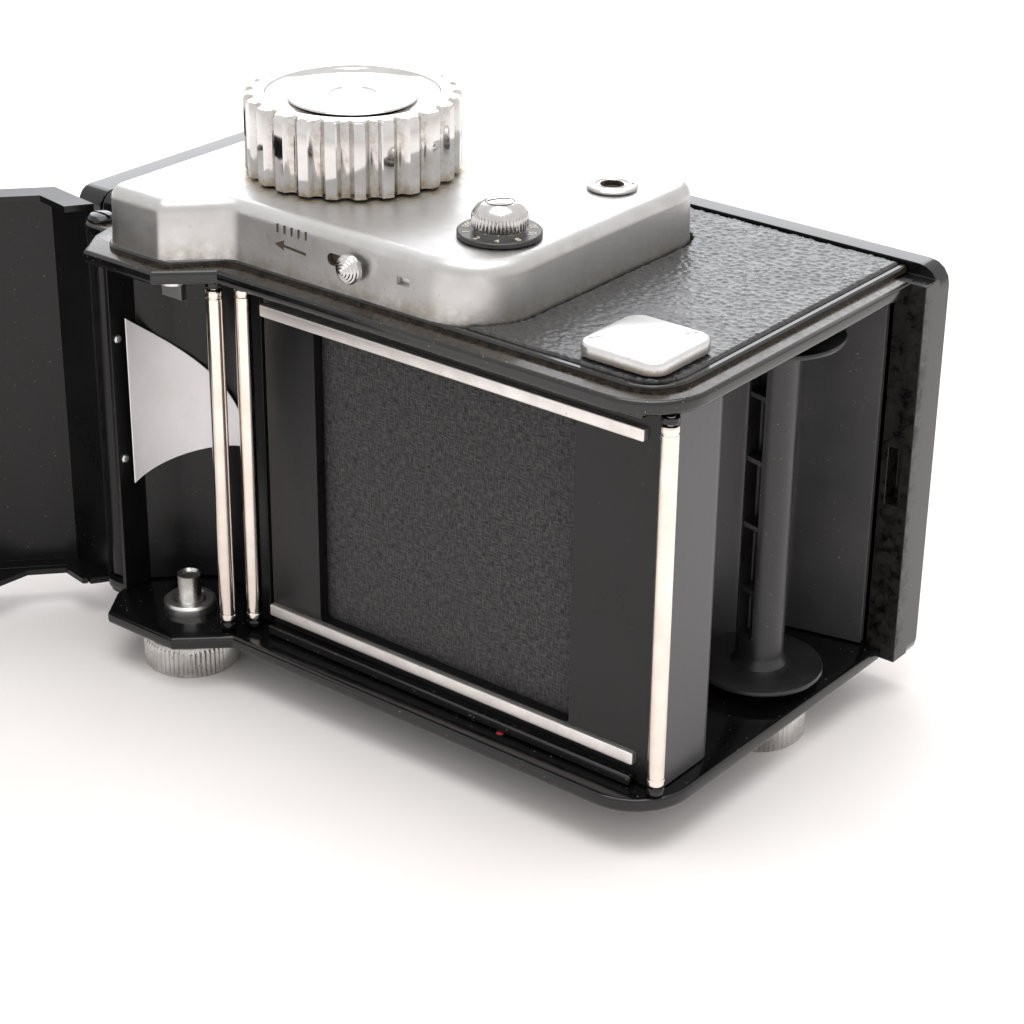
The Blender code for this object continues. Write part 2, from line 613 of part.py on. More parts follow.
def hood():
    wall = 1.2
    low, high = (HOOD_BACK, -36.9), (HOOD_FRONT, 36.9)
    inner_low, inner_high = (low[0] + wall, low[1] + wall), (high[0] - wall, high[1] - wall)
    base = prism(rectangle(low, high, 3.0), HOOD_SEAM + GAP, TOP - GAP, "X")
    well = prism(rectangle(inner_low, inner_high), HOOD_SEAM - 1, -78.0, "X")
    window = box((-80.0, 13.0, -26.5), (-73.0, 61.0, 26.5))
    piece("hood_base", base, "black_enamel", cut=[well, window])
    lid = prism(rectangle(low, high, 3.0), HOOD_TOP, HOOD_SEAM, "X")
    tray = prism(rectangle(inner_low, inner_high), HOOD_TOP + wall, HOOD_SEAM + 1, "X")
    hinge_place = (HOOD_SEAM, HOOD_FRONT, 0)
    piece("hood_lid", lid, "black_enamel", pivot=hinge_place, cut=[tray])

    hinge_y = HOOD_BACK + wall + 0.6
    back = box((-87.9, hinge_y + 0.4, -32.5), (-87.0, hinge_y + 0.4 + HOOD_PANEL, 32.5))
    piece("hood_back_panel", back, "matte_black", pivot=(-87.45, hinge_y, 0))
    edge = 34.5
    for side, name in ((1, "hood_right_panel"), (-1, "hood_left_panel")):
        free = edge - HOOD_PANEL
        outline = [(13.6, edge), (13.6 + HOOD_PANEL, free), (64.5 - HOOD_PANEL, free), (64.5, edge)]
        outline = [(y, side * z) for y, z in outline]
        panel = prism(outline, -86.4, -85.5, "X")
        piece(name, panel, "matte_black", pivot=(-86.0, 0, side * (edge + 0.4)))

    pivot_y, glass_y = HOOD_FRONT - 26.0, 29.0
    frame = prism(rectangle((17.5, -12.0), (pivot_y, 12.0), 3.0), -90.4, -89.2, "X")
    bore = cylinder((glass_y, 0.0), 9.4, -92.0, -88.0, "X", 24)
    piece("magnifier_frame", frame, "black_enamel", pivot=(-89.8, pivot_y, 0), cut=[bore])
    lens = lathe([(0, -91.3), (5.0, -91.0), (9.0, -90.2), (9.0, -89.4), (0, -88.9)], (glass_y, 0.0), "X", 24)
    piece("magnifier_lens", lens, "lens_glass", pivot=(-89.8, pivot_y, 0))


def main():
    for item in list(bpy.data.objects):
        bpy.data.objects.remove(item, do_unlink=True)
    bpy.context.scene.unit_settings.system = "METRIC"
    empty("gate_middle", GATE_PLACE, None)
    side_plates()
    side_leathers()
    film_gate()
    dark_chamber()
    blind()
    film_chambers()
    leaf_springs()
    film_rollers()
    front_shell()
    finder_optics()
    wind_housing()
    wind_knob()
    gear_train()
    speed_dial()
    release_socket()
    reset_button()
    square_cap()
    supply_spool()
    pull_knobs()
    door_parts()
    focusing()
    lens_board()
    shutter()
    lenses()
    hood()


main()
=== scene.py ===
import json
from math import cos, hypot, pi, radians, sin

import bmesh
import bpy
from mathutils import Matrix, Vector, noise
from mathutils.geometry import delaunay_2d_cdt

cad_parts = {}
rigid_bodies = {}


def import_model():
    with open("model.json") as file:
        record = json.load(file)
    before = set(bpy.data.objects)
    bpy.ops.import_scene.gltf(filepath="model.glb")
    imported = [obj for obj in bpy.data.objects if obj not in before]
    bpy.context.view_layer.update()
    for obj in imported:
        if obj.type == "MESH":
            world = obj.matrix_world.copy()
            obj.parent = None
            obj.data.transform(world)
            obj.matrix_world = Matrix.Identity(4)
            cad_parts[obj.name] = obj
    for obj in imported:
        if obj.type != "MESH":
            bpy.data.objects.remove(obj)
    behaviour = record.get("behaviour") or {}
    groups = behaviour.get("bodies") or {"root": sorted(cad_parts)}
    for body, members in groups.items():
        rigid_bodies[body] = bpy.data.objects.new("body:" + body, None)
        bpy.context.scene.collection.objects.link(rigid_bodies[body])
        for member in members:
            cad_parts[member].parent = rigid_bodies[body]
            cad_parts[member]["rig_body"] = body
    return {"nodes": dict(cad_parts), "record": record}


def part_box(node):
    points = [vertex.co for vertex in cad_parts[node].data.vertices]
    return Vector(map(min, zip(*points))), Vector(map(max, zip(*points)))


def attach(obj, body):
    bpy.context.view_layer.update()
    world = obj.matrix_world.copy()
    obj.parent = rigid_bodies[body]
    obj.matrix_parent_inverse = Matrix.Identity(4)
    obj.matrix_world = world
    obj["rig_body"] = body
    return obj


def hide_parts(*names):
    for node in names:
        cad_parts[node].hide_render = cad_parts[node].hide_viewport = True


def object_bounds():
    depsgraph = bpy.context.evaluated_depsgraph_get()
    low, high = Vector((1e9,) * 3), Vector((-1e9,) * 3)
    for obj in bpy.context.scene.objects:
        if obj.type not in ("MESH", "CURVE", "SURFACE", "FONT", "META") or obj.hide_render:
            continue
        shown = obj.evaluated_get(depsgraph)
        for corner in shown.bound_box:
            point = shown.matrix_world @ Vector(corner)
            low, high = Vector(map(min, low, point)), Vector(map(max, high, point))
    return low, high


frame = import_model()
cadLow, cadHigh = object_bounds()
print("frame loaded:", len(frame["nodes"]), "solids")

# Lengths below are millimetres from the middle of the film gate. x runs to the camera's foot,
# y to its lenses and z to its right side, which is up as it lies here.
mm = 0.001
gateCorner = {"x": -39.7, "y": -0.6}  # the gate frame's lowest corner, from the gate's middle
gateLow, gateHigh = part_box("film_gate")
gate = Vector((
    gateLow.x - gateCorner["x"] * mm,
    gateLow.y - gateCorner["y"] * mm,
    (gateLow.z + gateHigh.z) / 2,
))
slotOf = {part["node"]: part["material_slot"] for part in frame["record"]["subparts"]}
grainSeed = 1795010975
noise.seed_set(grainSeed)  # without it the leather's grain starts from the clock and differs each run


def spot(nodeName):
    # a CAD node's lowest and highest corners in these millimetres
    low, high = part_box(nodeName)
    return (low - gate) / mm, (high - gate) / mm


def middleOf(nodeName):
    low, high = spot(nodeName)
    return (low + high) / 2


def plan(point):
    # the point seen from above
    return point.x, point.y


# Materials: each is one real finish, and its sizes are in real millimetres.

def linear(code):
    parts = [int(code[i:i + 2], 16) / 255 for i in (1, 3, 5)]
    return (*[p / 12.92 if p <= 0.04045 else ((p + 0.055) / 1.055) ** 2.4 for p in parts], 1.0)


def node(tree, kind, settings=None, links=None):
    made = tree.nodes.new("ShaderNode" + kind)
    for key, value in (settings or {}).items():
        if isinstance(key, str) and hasattr(made, key):
            setattr(made, key, value)
        else:
            made.inputs[key].default_value = value
    for key, (other, output) in (links or {}).items():
        tree.links.new(other.outputs[output], made.inputs[key])
    return made


def mixed(tree, first, second, share):
    # a colour that goes from the first socket or value to the second as share rises
    settings, links = {"data_type": "RGBA"}, {0: share}
    for index, source in ((6, first), (7, second)):
        if isinstance(source[0], float):
            settings[index] = source
        else:
            links[index] = source
    return node(tree, "Mix", settings, links), 2


def blotches(tree, place, sizeMm, detail, roughness=0.5):
    # soft noise with features of about this size
    settings = {"Scale": 1000 / sizeMm, "Detail": detail, "Roughness": roughness}
    return node(tree, "TexNoise", settings, {"Vector": (place, "Object")})


def distanceFrom(tree, place, centre, axis):
    # how far a point is from the line through centre along axis
    middle = gate + Vector(centre) * mm
    mask = [0.0 if letter == axis else 1.0 for letter in "xyz"]
    away = node(tree, "VectorMath", {"operation": "SUBTRACT", 1: middle}, {0: (place, "Object")})
    level = node(tree, "VectorMath", {"operation": "MULTIPLY", 1: mask}, {0: (away, 0)})
    return node(tree, "VectorMath", {"operation": "LENGTH"}, {0: (level, 0)}), 1


def product(tree, first, second):
    return node(tree, "Math", {"operation": "MULTIPLY"}, {0: (first, 0), 1: (second, 0)})


def zoneMask(tree, place, zone):
    # where dirt gathers: by height along an axis, or by distance from an axis parallel to z
    if "centre" in zone:
        measure = distanceFrom(tree, place, (*zone["centre"], 0), "z")
        start, end = zone["clean"] * mm, zone["dirty"] * mm
    else:
        index = "xyz".index(zone["axis"])
        measure = node(tree, "SeparateXYZ", links={0: (place, "Object")}), index
        start, end = (gate[index] + zone[key] * mm for key in ("clean", "dirty"))
    ramp = node(tree, "MapRange", {"From Min": start, "From Max": end}, {"Value": measure})
    if "gone" in zone:  # the dirt stops again past its worst line
        gone = zone["gone"] * mm + (0 if "centre" in zone else gate[index])
        fade = node(tree, "MapRange", {"From Min": gone, "From Max": end}, {"Value": measure})
        ramp = product(tree, ramp, fade)
    blot = blotches(tree, place, zone["blotMm"], 5.0, 0.7)
    patchy = node(tree, "MapRange", {"From Min": 0.36, "From Max": 0.66}, {"Value": (blot, 0)})
    both = product(tree, ramp, patchy)
    settings = {"operation": "MULTIPLY", 1: zone["share"], "use_clamp": True}
    return node(tree, "Math", settings, {0: (both, 0)}), 0


def finish(name, look):
    # A cloudy two-colour base, fine grain, dust specks, lathe rings and dirt zones, as the finish asks.
    material = bpy.data.materials.new(name)
    material.use_nodes = True
    tree = material.node_tree
    shader = tree.nodes["Principled BSDF"]
    place = node(tree, "TexCoord")
    cloud = blotches(tree, place, look["patchMm"], 4.0, 0.6)
    spread = node(tree, "MapRange", {"From Min": 0.36, "From Max": 0.64}, {"Value": (cloud, 0)})
    colour = mixed(tree, linear(look["base"]), linear(look["worn"]), (spread, 0))
    low, high = look["rough"]
    settings = {"From Min": 0.3, "From Max": 0.7, "To Min": low, "To Max": high}
    rough = node(tree, "MapRange", settings, {"Value": (cloud, 0)}), 0
    if "speckMm" in look:
        dots = blotches(tree, place, look["speckMm"], 1.5)
        near = look.get("speckFrom", 0.68)
        hit = node(tree, "MapRange", {"From Min": near, "From Max": near + 0.03}, {"Value": (dots, 0)}), 0
        colour = mixed(tree, colour, linear(look["speck"]), hit)
        rough = node(tree, "Mix", {3: 0.85}, {0: hit, 2: rough}), 0
    for zone in look.get("dirt", ()):
        mask = zoneMask(tree, place, zone)
        colour = mixed(tree, colour, linear(zone["colour"]), mask)
        rough = node(tree, "Mix", {3: zone.get("rough", 0.8)}, {0: mask, 2: rough}), 0
    if "valley" in look:
        groove = node(tree, "Attribute", {"attribute_name": "valley"})
        packed = node(tree, "Math", {"operation": "MULTIPLY", 1: look["valleyShare"]}, {0: (groove, "Fac")})
        colour = mixed(tree, colour, linear(look["valley"]), (packed, 0))
    normal = None
    for size, depth in look["grain"]:
        grain = blotches(tree, place, size, 3.0, 0.65)
        links = {"Height": (grain, 0)}
        if normal:
            links["Normal"] = (normal, 0)
        normal = node(tree, "Bump", {"Strength": 1.0, "Distance": depth * mm}, links)
    if "rings" in look:
        rings = look["rings"]
        reach = distanceFrom(tree, place, rings["centre"], rings["axis"])
        settings = {"noise_dimensions": "1D", "Scale": 1000 / rings["pitchMm"], "Detail": 2.0}
        cuts = node(tree, "TexNoise", settings, {"W": reach})
        links = {"Height": (cuts, 0), "Normal": (normal, 0)}
        normal = node(tree, "Bump", {"Strength": 1.0, "Distance": rings["depthMm"] * mm}, links)
    tree.links.new(normal.outputs[0], shader.inputs["Normal"])
    tree.links.new(colour[0].outputs[colour[1]], shader.inputs["Base Color"])
    tree.links.new(rough[0].outputs[rough[1]], shader.inputs["Roughness"])
    for key, value in look.get("shader", {}).items():
        shader.inputs[key].default_value = value
    return material


dustTan = "#9a8a72"
metal = {"Metallic": 1.0}  # bare or plated metal, with the usual reflectance
knobSpot, dialSpot, socketSpot = (middleOf(n) for n in ("wind_knob", "speed_dial", "release_socket"))
focusSpot = middleOf("focus_knob")
takeupSpot, supplySpot = middleOf("takeup_pull_knob"), middleOf("supply_pull_knob")
boardSpot = middleOf("taking_lens_barrel")
plateTop = spot("right_side_plate")[1].z
leatherBase = spot("right_leather")[0].z
housingTop = spot("wind_housing")[1].z

# Stove-baked black enamel on pressed steel: deep gloss, a faint orange peel and settled dust.
glossLook = {
    "base": "#08080a", "worn": "#0f0f10", "patchMm": 9.0, "rough": (0.1, 0.22),
    "grain": ((2.4, 0.008), (0.25, 0.0008)),
    "speck": dustTan, "speckMm": 0.45, "speckFrom": 0.75,
    "shader": {"Coat Weight": 0.15, "Coat Roughness": 0.08, "Specular IOR Level": 0.45},
}
glossEnamel = finish("glossBlackEnamel", glossLook)
# The same enamel where it lies beside the leather: dust has packed against the step.
dustyEnamel = finish("dustyBlackEnamel", {
    "base": "#09090a", "worn": "#121112", "patchMm": 7.0, "rough": (0.1, 0.24),
    "grain": ((2.2, 0.008), (0.2, 0.0008)),
    "speck": dustTan, "speckMm": 0.4, "speckFrom": 0.735,
    "dirt": ({
        "axis": "z", "clean": plateTop + 0.9, "dirty": plateTop + 0.1, "gone": plateTop - 0.15,
        "blotMm": 1.2, "colour": "#57472f", "share": 0.6,
    },),
    "shader": {"Coat Weight": 0.3, "Coat Roughness": 0.08},
})
# Matt black paint inside the film chambers: it drinks light, and shows lint and rubbed bends.
mattPaint = finish("mattBlackPaint", {
    "base": "#0c0c0d", "worn": "#131213", "patchMm": 18.0, "rough": (0.26, 0.36),
    "grain": ((0.5, 0.003), (0.18, 0.002)),
    "speck": "#8c8072", "speckMm": 0.4, "speckFrom": 0.75,
    "shader": {"Specular IOR Level": 0.38},
})
# Semi-gloss black lacquer on the chamber walls, with a broad soft sheen along each bend; its base is a lighter grey
# than the matt black paint beside it, a painted reflection.
chamberLacquerPaintedReflection = finish("chamberLacquerPaintedReflection", {
    "base": "#39393b", "worn": "#424143", "patchMm": 20.0, "rough": (0.3, 0.42),
    "grain": ((2.2, 0.01), (0.2, 0.003)),
    "speck": "#8c8072", "speckMm": 0.45, "speckFrom": 0.74,
    "shader": {"Specular IOR Level": 0.6},
})
# Embossed leatherette: the pebbles are in the mesh, the pores here; the tops are polished by hands.
leatherette = finish("embossedLeatherette", {
    "base": "#232427", "worn": "#303135", "patchMm": 12.0, "rough": (0.2, 0.34),
    "grain": ((0.4, 0.03), (0.16, 0.006)),
    "speck": "#b5aa98", "speckMm": 0.35, "speckFrom": 0.75,
    "valley": "#3b372f", "valleyShare": 0.35,
    "shader": {"Specular IOR Level": 0.7},
})
# Satin chrome over a bead-blasted die casting: pearly, with skin oil and old polish along its foot.
satinChrome = finish("satinChromePlate", {
    "base": "#cccbcb", "worn": "#bfbebc", "patchMm": 8.0, "rough": (0.3, 0.44),
    "grain": ((0.3, 0.022), (0.7, 0.02)),  # blast grit is nearer 0.1 mm; drawn coarser so that it shows
    "speck": "#8d7f68", "speckMm": 0.5, "speckFrom": 0.76,
    "dirt": (
        {
            "axis": "z", "clean": leatherBase + 5.2, "dirty": leatherBase + 0.3,
            "blotMm": 2.2, "colour": "#8d7c5c", "share": 0.7, "rough": 0.5,
        },
        {
            "centre": plan(knobSpot), "clean": 21.6, "dirty": 19.2, "gone": 17.5,
            "blotMm": 2.4, "colour": "#9a8450", "share": 0.9, "rough": 0.5,
        },
    ),
    "shader": metal,
})
# The same plating on small loose parts.
plainSatin = finish("satinChromeTrim", {
    "base": "#e2e2e2", "worn": "#d6d5d3", "patchMm": 6.0, "rough": (0.26, 0.36),
    "grain": ((0.16, 0.005), (0.6, 0.004)),
    "speck": "#8d7f68", "speckMm": 0.4, "speckFrom": 0.74,
    "dirt": ({
        "axis": "z", "clean": leatherBase + 3.0, "dirty": leatherBase + 1.3, "gone": leatherBase - 0.6,
        "blotMm": 0.9, "colour": "#a07c34", "share": 1.0,
    },),
    "shader": metal,
})
# Bright nickel-chrome on turned parts: mirror-like, with the fine rings of the lathe tool.
turnedChrome = finish("turnedBrightChrome", {
    "base": "#d6d4d3", "worn": "#c6c4c2", "patchMm": 3.0, "rough": (0.12, 0.22),
    "grain": ((0.3, 0.001),),
    "rings": {"centre": dialSpot, "axis": "z", "pitchMm": 0.22, "depthMm": 0.0015},
    "speck": "#8d7f68", "speckMm": 0.3, "speckFrom": 0.74,
    "shader": metal,
})
# Chrome on the fluted winding knob: bright ribs, and tan polish residue packed low in the flutes.
fluteChrome = finish("flutedKnobChrome", {
    "base": "#dddcdb", "worn": "#cfcdcb", "patchMm": 5.0, "rough": (0.05, 0.12),
    "grain": ((0.22, 0.001),),
    "rings": {"centre": knobSpot, "axis": "z", "pitchMm": 0.35, "depthMm": 0.0012},
    "dirt": (
        {
            "centre": plan(knobSpot), "clean": 18.8, "dirty": 17.7, "gone": 17.3,
            "blotMm": 1.0, "colour": "#9a876a", "share": 0.6, "rough": 0.45,
        },
        {
            "axis": "z", "clean": housingTop + 2.2, "dirty": housingTop + 0.2,
            "blotMm": 0.8, "colour": "#8a754d", "share": 0.7, "rough": 0.6,
        },
    ),
    "shader": metal,
})
# Ground and polished nickel rod: warm white, with hairline draw marks.
nickelRod = finish("polishedNickelRod", {
    "base": "#f4ebe2", "worn": "#eadfd4", "patchMm": 6.0, "rough": (0.12, 0.22),
    "grain": ((0.35, 0.0015),),
    "speck": "#97836a", "speckMm": 0.3, "speckFrom": 0.76,
    "shader": metal,
})
# Blued spring steel, burnished bright by the film.
springSteel = finish("burnishedSpringSteel", {
    "base": "#f6f3f5", "worn": "#ecebee", "patchMm": 16.0, "rough": (0.32, 0.4),
    "grain": ((0.8, 0.003), (0.2, 0.001)),
    "shader": metal,
})
# Each film spring is drawn as a blank white label of smooth coated paper, faintly yellowed at the rub marks; the
# flat white is a painted reflection of the bright surroundings in the polished spring.
springPaintedReflection = finish("springWhitePaintedReflection", {
    "base": "#fcf9fb", "worn": "#f4f0f1", "patchMm": 12.0, "rough": (0.3, 0.42),
    "grain": ((0.8, 0.003), (0.2, 0.001)),
    "speck": "#cfc4b4", "speckMm": 0.4, "speckFrom": 0.76,
    "shader": {"Specular IOR Level": 0.6},
})
# Milled aluminium with a fine matt skin: pale grey, softly rough, rubbed by film.
milledAluminium = finish("milledAluminium", {
    "base": "#efebe8", "worn": "#e2ddd9", "patchMm": 5.0, "rough": (0.34, 0.5),
    "grain": ((0.2, 0.004), (1.2, 0.004)),
    "speck": "#8a7a64", "speckMm": 0.4, "speckFrom": 0.73,
    "shader": metal,
})
# Turned brass under worn lacquer.
turnedBrass = finish("turnedBrass", {
    "base": "#c9a25a", "worn": "#a98444", "patchMm": 3.0, "rough": (0.26, 0.42),
    "grain": ((0.2, 0.004),),
    "speck": "#5a4526", "speckMm": 0.4, "speckFrom": 0.7,
    "shader": metal,
})
# Moulded black phenolic: dense, with a soft mould sheen and fine scuffs.
mouldedPhenolic = finish("mouldedPhenolic", {
    "base": "#131315", "worn": "#1f1f21", "patchMm": 10.0, "rough": (0.28, 0.44),
    "grain": ((0.9, 0.006), (0.2, 0.003)),
    "speck": "#84796a", "speckMm": 0.4, "speckFrom": 0.74,
    "shader": {"Specular IOR Level": 0.6},
})
# Black lacquer on the dial, and the bone-coloured paint in its engraved figures.
dialLacquer = finish("dialLacquer", {
    "base": "#242321", "worn": "#34322f", "patchMm": 2.0, "rough": (0.3, 0.46),
    "grain": ((0.25, 0.004),),
    "rings": {"centre": dialSpot, "axis": "z", "pitchMm": 0.18, "depthMm": 0.004},
    "shader": {"Specular IOR Level": 0.6},
})
bonePaint = finish("bonePaint", {
    "base": "#e6e0cf", "worn": "#cfc7b2", "patchMm": 0.8, "rough": (0.5, 0.7), "grain": ((0.15, 0.004),),
})
# Oil and dirt that fills engraved marks; the same dark brown lines the button slot and the release socket's throat,
# where it is painted shade in those hollows.
slotDirtAndShade = finish("slotDirtAndShade", {
    "base": "#2e261d", "worn": "#4b3d2a", "patchMm": 0.7, "rough": (0.6, 0.85), "grain": ((0.2, 0.02),),
})
signalRed = finish("signalRedPaint", {
    "base": "#a5291f", "worn": "#7c1d16", "patchMm": 0.9, "rough": (0.35, 0.55), "grain": ((0.2, 0.008),),
})


def wovenCloth(name, look):
    # plain weave: short uneven threads cross at right angles in the plane of the cloth
    material = finish(name, look)
    tree = material.node_tree
    shader = tree.nodes["Principled BSDF"]
    place = node(tree, "TexCoord")
    fine, long = 1000 / look["threadMm"], 1000 / look["floatMm"]
    threads = []
    for scale in ((fine, 1, long), (long, 1, fine)):
        drawn = node(tree, "VectorMath", {"operation": "MULTIPLY", 1: scale}, {0: (place, "Object")})
        threads.append(node(tree, "TexNoise", {"Scale": 1.0, "Detail": 1.0}, {"Vector": (drawn, 0)}))
    weave = node(tree, "Math", {"operation": "MAXIMUM"}, {0: (threads[0], 0), 1: (threads[1], 0)})
    crisp = node(tree, "MapRange", {"From Min": 0.42, "From Max": 0.72}, {"Value": (weave, 0)})
    raised = node(tree, "Bump", {"Strength": 1.0, "Distance": look["threadDepth"] * mm}, {"Height": (crisp, 0)})
    # the raised threads are mixed towards a lighter grey: a painted highlight on each thread's crown
    base = shader.inputs["Base Color"].links[0].from_socket
    threadHighlightMix = node(tree, "Mix", {"data_type": "RGBA", 7: linear(look["threadHighlight"])}, {0: (crisp, 0)})
    tree.links.new(base, threadHighlightMix.inputs[6])
    tree.links.new(threadHighlightMix.outputs[2], shader.inputs["Base Color"])
    tree.links.new(raised.outputs[0], shader.inputs["Normal"])
    return material


# Rubberised silk blind: dull charcoal, with a painted highlight: each raised thread is coloured lighter, as if just
# catching the light. Real threads are about
# 0.15 mm apart; they are drawn coarser so that they show.
blindCloth = wovenCloth("rubberisedSilk", {
    "base": "#2a2a2b", "worn": "#333334", "patchMm": 10.0, "rough": (0.7, 0.85),
    "grain": ((0.3, 0.01),), "speck": "#8c8378", "speckMm": 0.4, "speckFrom": 0.72,
    "threadHighlight": "#6c6a6b", "threadMm": 0.3, "floatMm": 1.4, "threadDepth": 0.05,
    "shader": {"Sheen Weight": 0.3, "Sheen Roughness": 0.5},
})
# Coated optical glass: clear, with a faint violet bloom and a few dust motes.
lensGlass = finish("coatedLensGlass", {
    "base": "#e8ebf5", "worn": "#dfe4f2", "patchMm": 12.0, "rough": (0.01, 0.03), "grain": ((6.0, 0.001),),
    "speck": "#b9b3a6", "speckMm": 0.25, "speckFrom": 0.77,
    "shader": {
        "Transmission Weight": 1.0, "IOR": 1.62, "Coat Weight": 0.6, "Coat Tint": linear("#b9a8f0"),
    },
})
# Ground glass: one face ground with fine grit, so it glows milky.
groundGlass = finish("groundScreenGlass", {
    "base": "#dfe4e2", "worn": "#d3d9d6", "patchMm": 9.0, "rough": (0.35, 0.5), "grain": ((0.18, 0.006),),
    "speck": "#9a9488", "speckMm": 0.4, "speckFrom": 0.75,
    "shader": {"Transmission Weight": 0.7, "IOR": 1.5},
})
# Front-silvered mirror, slightly hazed with age.
silveredMirror = finish("silveredMirror", {
    "base": "#e3e5e8", "worn": "#d2d3d4", "patchMm": 11.0, "rough": (0.02, 0.07), "grain": ((2.5, 0.001),),
    "speck": "#8f8a80", "speckMm": 0.35, "speckFrom": 0.74,
    "shader": metal,
})
# Knob faces on the left side: satin plating with lathe rings about each knob's own centre.
knobFaces = {
    name: finish(name + "KnobChrome", {
        "base": "#cfcecc", "worn": "#b8b5b1", "patchMm": 4.0, "rough": (0.2, 0.32),
        "grain": ((0.2, 0.003),), "rings": {"centre": middle, "axis": "z", "pitchMm": 0.3, "depthMm": 0.006},
        "speck": "#7d6a4a", "speckMm": 0.4, "speckFrom": 0.7,
        "shader": metal,
    })
    for name, middle in (("focus", focusSpot), ("takeup", takeupSpot), ("supply", supplySpot))
}
shutterSatin = finish("shutterSatinChrome", {
    "base": "#c9c8c6", "worn": "#b3b0ac", "patchMm": 5.0, "rough": (0.22, 0.36),
    "grain": ((0.18, 0.004),), "rings": {"centre": boardSpot, "axis": "y", "pitchMm": 0.35, "depthMm": 0.006},
    "speck": "#7f7464", "speckMm": 0.35, "speckFrom": 0.74,
    "shader": metal,
})
slotLooks = {
    "black_enamel": glossEnamel, "matte_black": mattPaint, "leatherette": leatherette, "satin_chrome": plainSatin,
    "bright_chrome": turnedChrome, "polished_nickel": nickelRod, "spring_steel": springSteel, "brass": turnedBrass,
    "black_cloth": blindCloth, "black_plastic": mouldedPhenolic, "dial_black": dialLacquer, "lens_glass": lensGlass,
    "screen_glass": groundGlass, "mirror_silver": silveredMirror,
}
for name, item in frame["nodes"].items():
    item.data.materials.clear()
    item.data.materials.append(slotLooks[slotOf[name]])
print("materials made:", len(bpy.data.materials))


# Shaping helpers: outlines are flat lists of points, and each solid is drawn from them.

def arc(centre, radius, start, end, steps):
    turns = [radians(start + (end - start) * i / steps) for i in range(steps + 1)]
    return [(centre[0] + radius * cos(t), centre[1] + radius * sin(t)) for t in turns]


def rounded(corners, steps=6, closed=True):
    # corners are (x, y, radius); each radius becomes an arc that touches both sides
    points = []
    count = len(corners)
    for i, (x, y, radius) in enumerate(corners):
        here = Vector((x, y))
        if radius == 0 or (not closed and i in (0, count - 1)):
            points.append((x, y))
            continue
        before = (Vector(corners[i - 1][:2]) - here).normalized()
        after = (Vector(corners[(i + 1) % count][:2]) - here).normalized()
        half = before.angle(after) / 2
        middle = here + (before + after).normalized() * radius / sin(half)
        reach = radius * cos(half) / sin(half)
        first = here + before * reach - middle
        last = here + after * reach - middle
        sweep = first.angle_signed(last)
        for k in range(steps + 1):
            turn = first.copy()
            turn.rotate(Matrix.Rotation(-sweep * k / steps, 2))
            points.append(tuple(middle + turn))
    return points


def shifted(path, distance, closed):
    # the path moved to its left
    moved = []
    count = len(path)
    for i, point in enumerate(path):
        here = Vector(point)
        normals = []
        for a, b in ((i - 1, i), (i, i + 1)):
            if not closed and (a < 0 or b >= count):
                continue
            along = (Vector(path[b % count]) - Vector(path[a % count])).normalized()
            normals.append(Vector((-along.y, along.x)))
        normal = sum(normals, Vector((0, 0))).normalized()
        moved.append(tuple(here + normal * distance / max(0.3, normal.dot(normals[0]))))
    return moved


def rectangle(low, high, radius, steps=6):
    corners = [(low[0], low[1]), (high[0], low[1]), (high[0], high[1]), (low[0], high[1])]
    return rounded([(x, y, radius) for x, y in corners], steps)


def eased(profile, radius, steps=3):
    # rounds each inner corner of an open profile, by less where its sides are short
    corners = [(*profile[0], 0)]
    for before, here, after in zip(profile, profile[1:], profile[2:]):
        short = min(hypot(here[0] - p[0], here[1] - p[1]) for p in (before, after))
        one, two = (Vector(p) - Vector(here) for p in (before, after))
        half = one.angle(two) / 2
        reach = min(radius * cos(half) / max(sin(half), 0.01), short * 0.45)
        size = reach * sin(half) / max(cos(half), 0.01)
        corners.append((*here, size if size > 0.005 and half < 1.55 else 0))
    corners.append((*profile[-1], 0))
    return rounded(corners, steps, closed=False)


facing = {
    "X": lambda u, v, w: (w, u, v),
    "Y": lambda u, v, w: (u, w, v),
    "Z": lambda u, v, w: (u, v, w),
}


def skin(mesh, loops, closed=True, ends=True):
    # faces between loops of points, and over the first and last of them
    rings = [[mesh.verts.new(point) for point in loop] for loop in loops]
    span = len(rings[0]) if closed else len(rings[0]) - 1
    for one, other in zip(rings, rings[1:]):
        for i in range(span):
            j = (i + 1) % len(one)
            mesh.faces.new([one[i], one[j], other[j], other[i]])
    if ends:
        mesh.faces.new(rings[0][::-1])
        mesh.faces.new(rings[-1])
    return rings


def loft(outline, profile, axis="Z"):
    # the outline drawn at each (inset, height) of the profile, anticlockwise outlines shrinking with inset
    mesh = bmesh.new()
    loops = []
    for distance, height in profile:
        points = shifted(outline, distance, True) if distance else outline
        loops.append([facing[axis](u, v, height) for u, v in points])
    skin(mesh, loops)
    return mesh


def softSlab(outline, low, high, edge, axis="Z", steps=3):
    # a flat solid with both rims rounded
    turns = [pi / 2 * i / steps for i in range(steps + 1)]
    foot = [(edge * (1 - sin(t)), low + edge * (1 - cos(t))) for t in turns]
    head = [(edge * (1 - sin(t)), high - edge * (1 - cos(t))) for t in turns]
    return loft(outline, foot + head[::-1], axis)


def block(low, high, edge=0.25):
    return softSlab(rectangle(low[:2], high[:2], edge * 1.6, 3), low[2], high[2], edge, steps=2)


def prism(outline, low, high, axis="Z"):
    return loft(outline, [(0, low), (0, high)], axis)


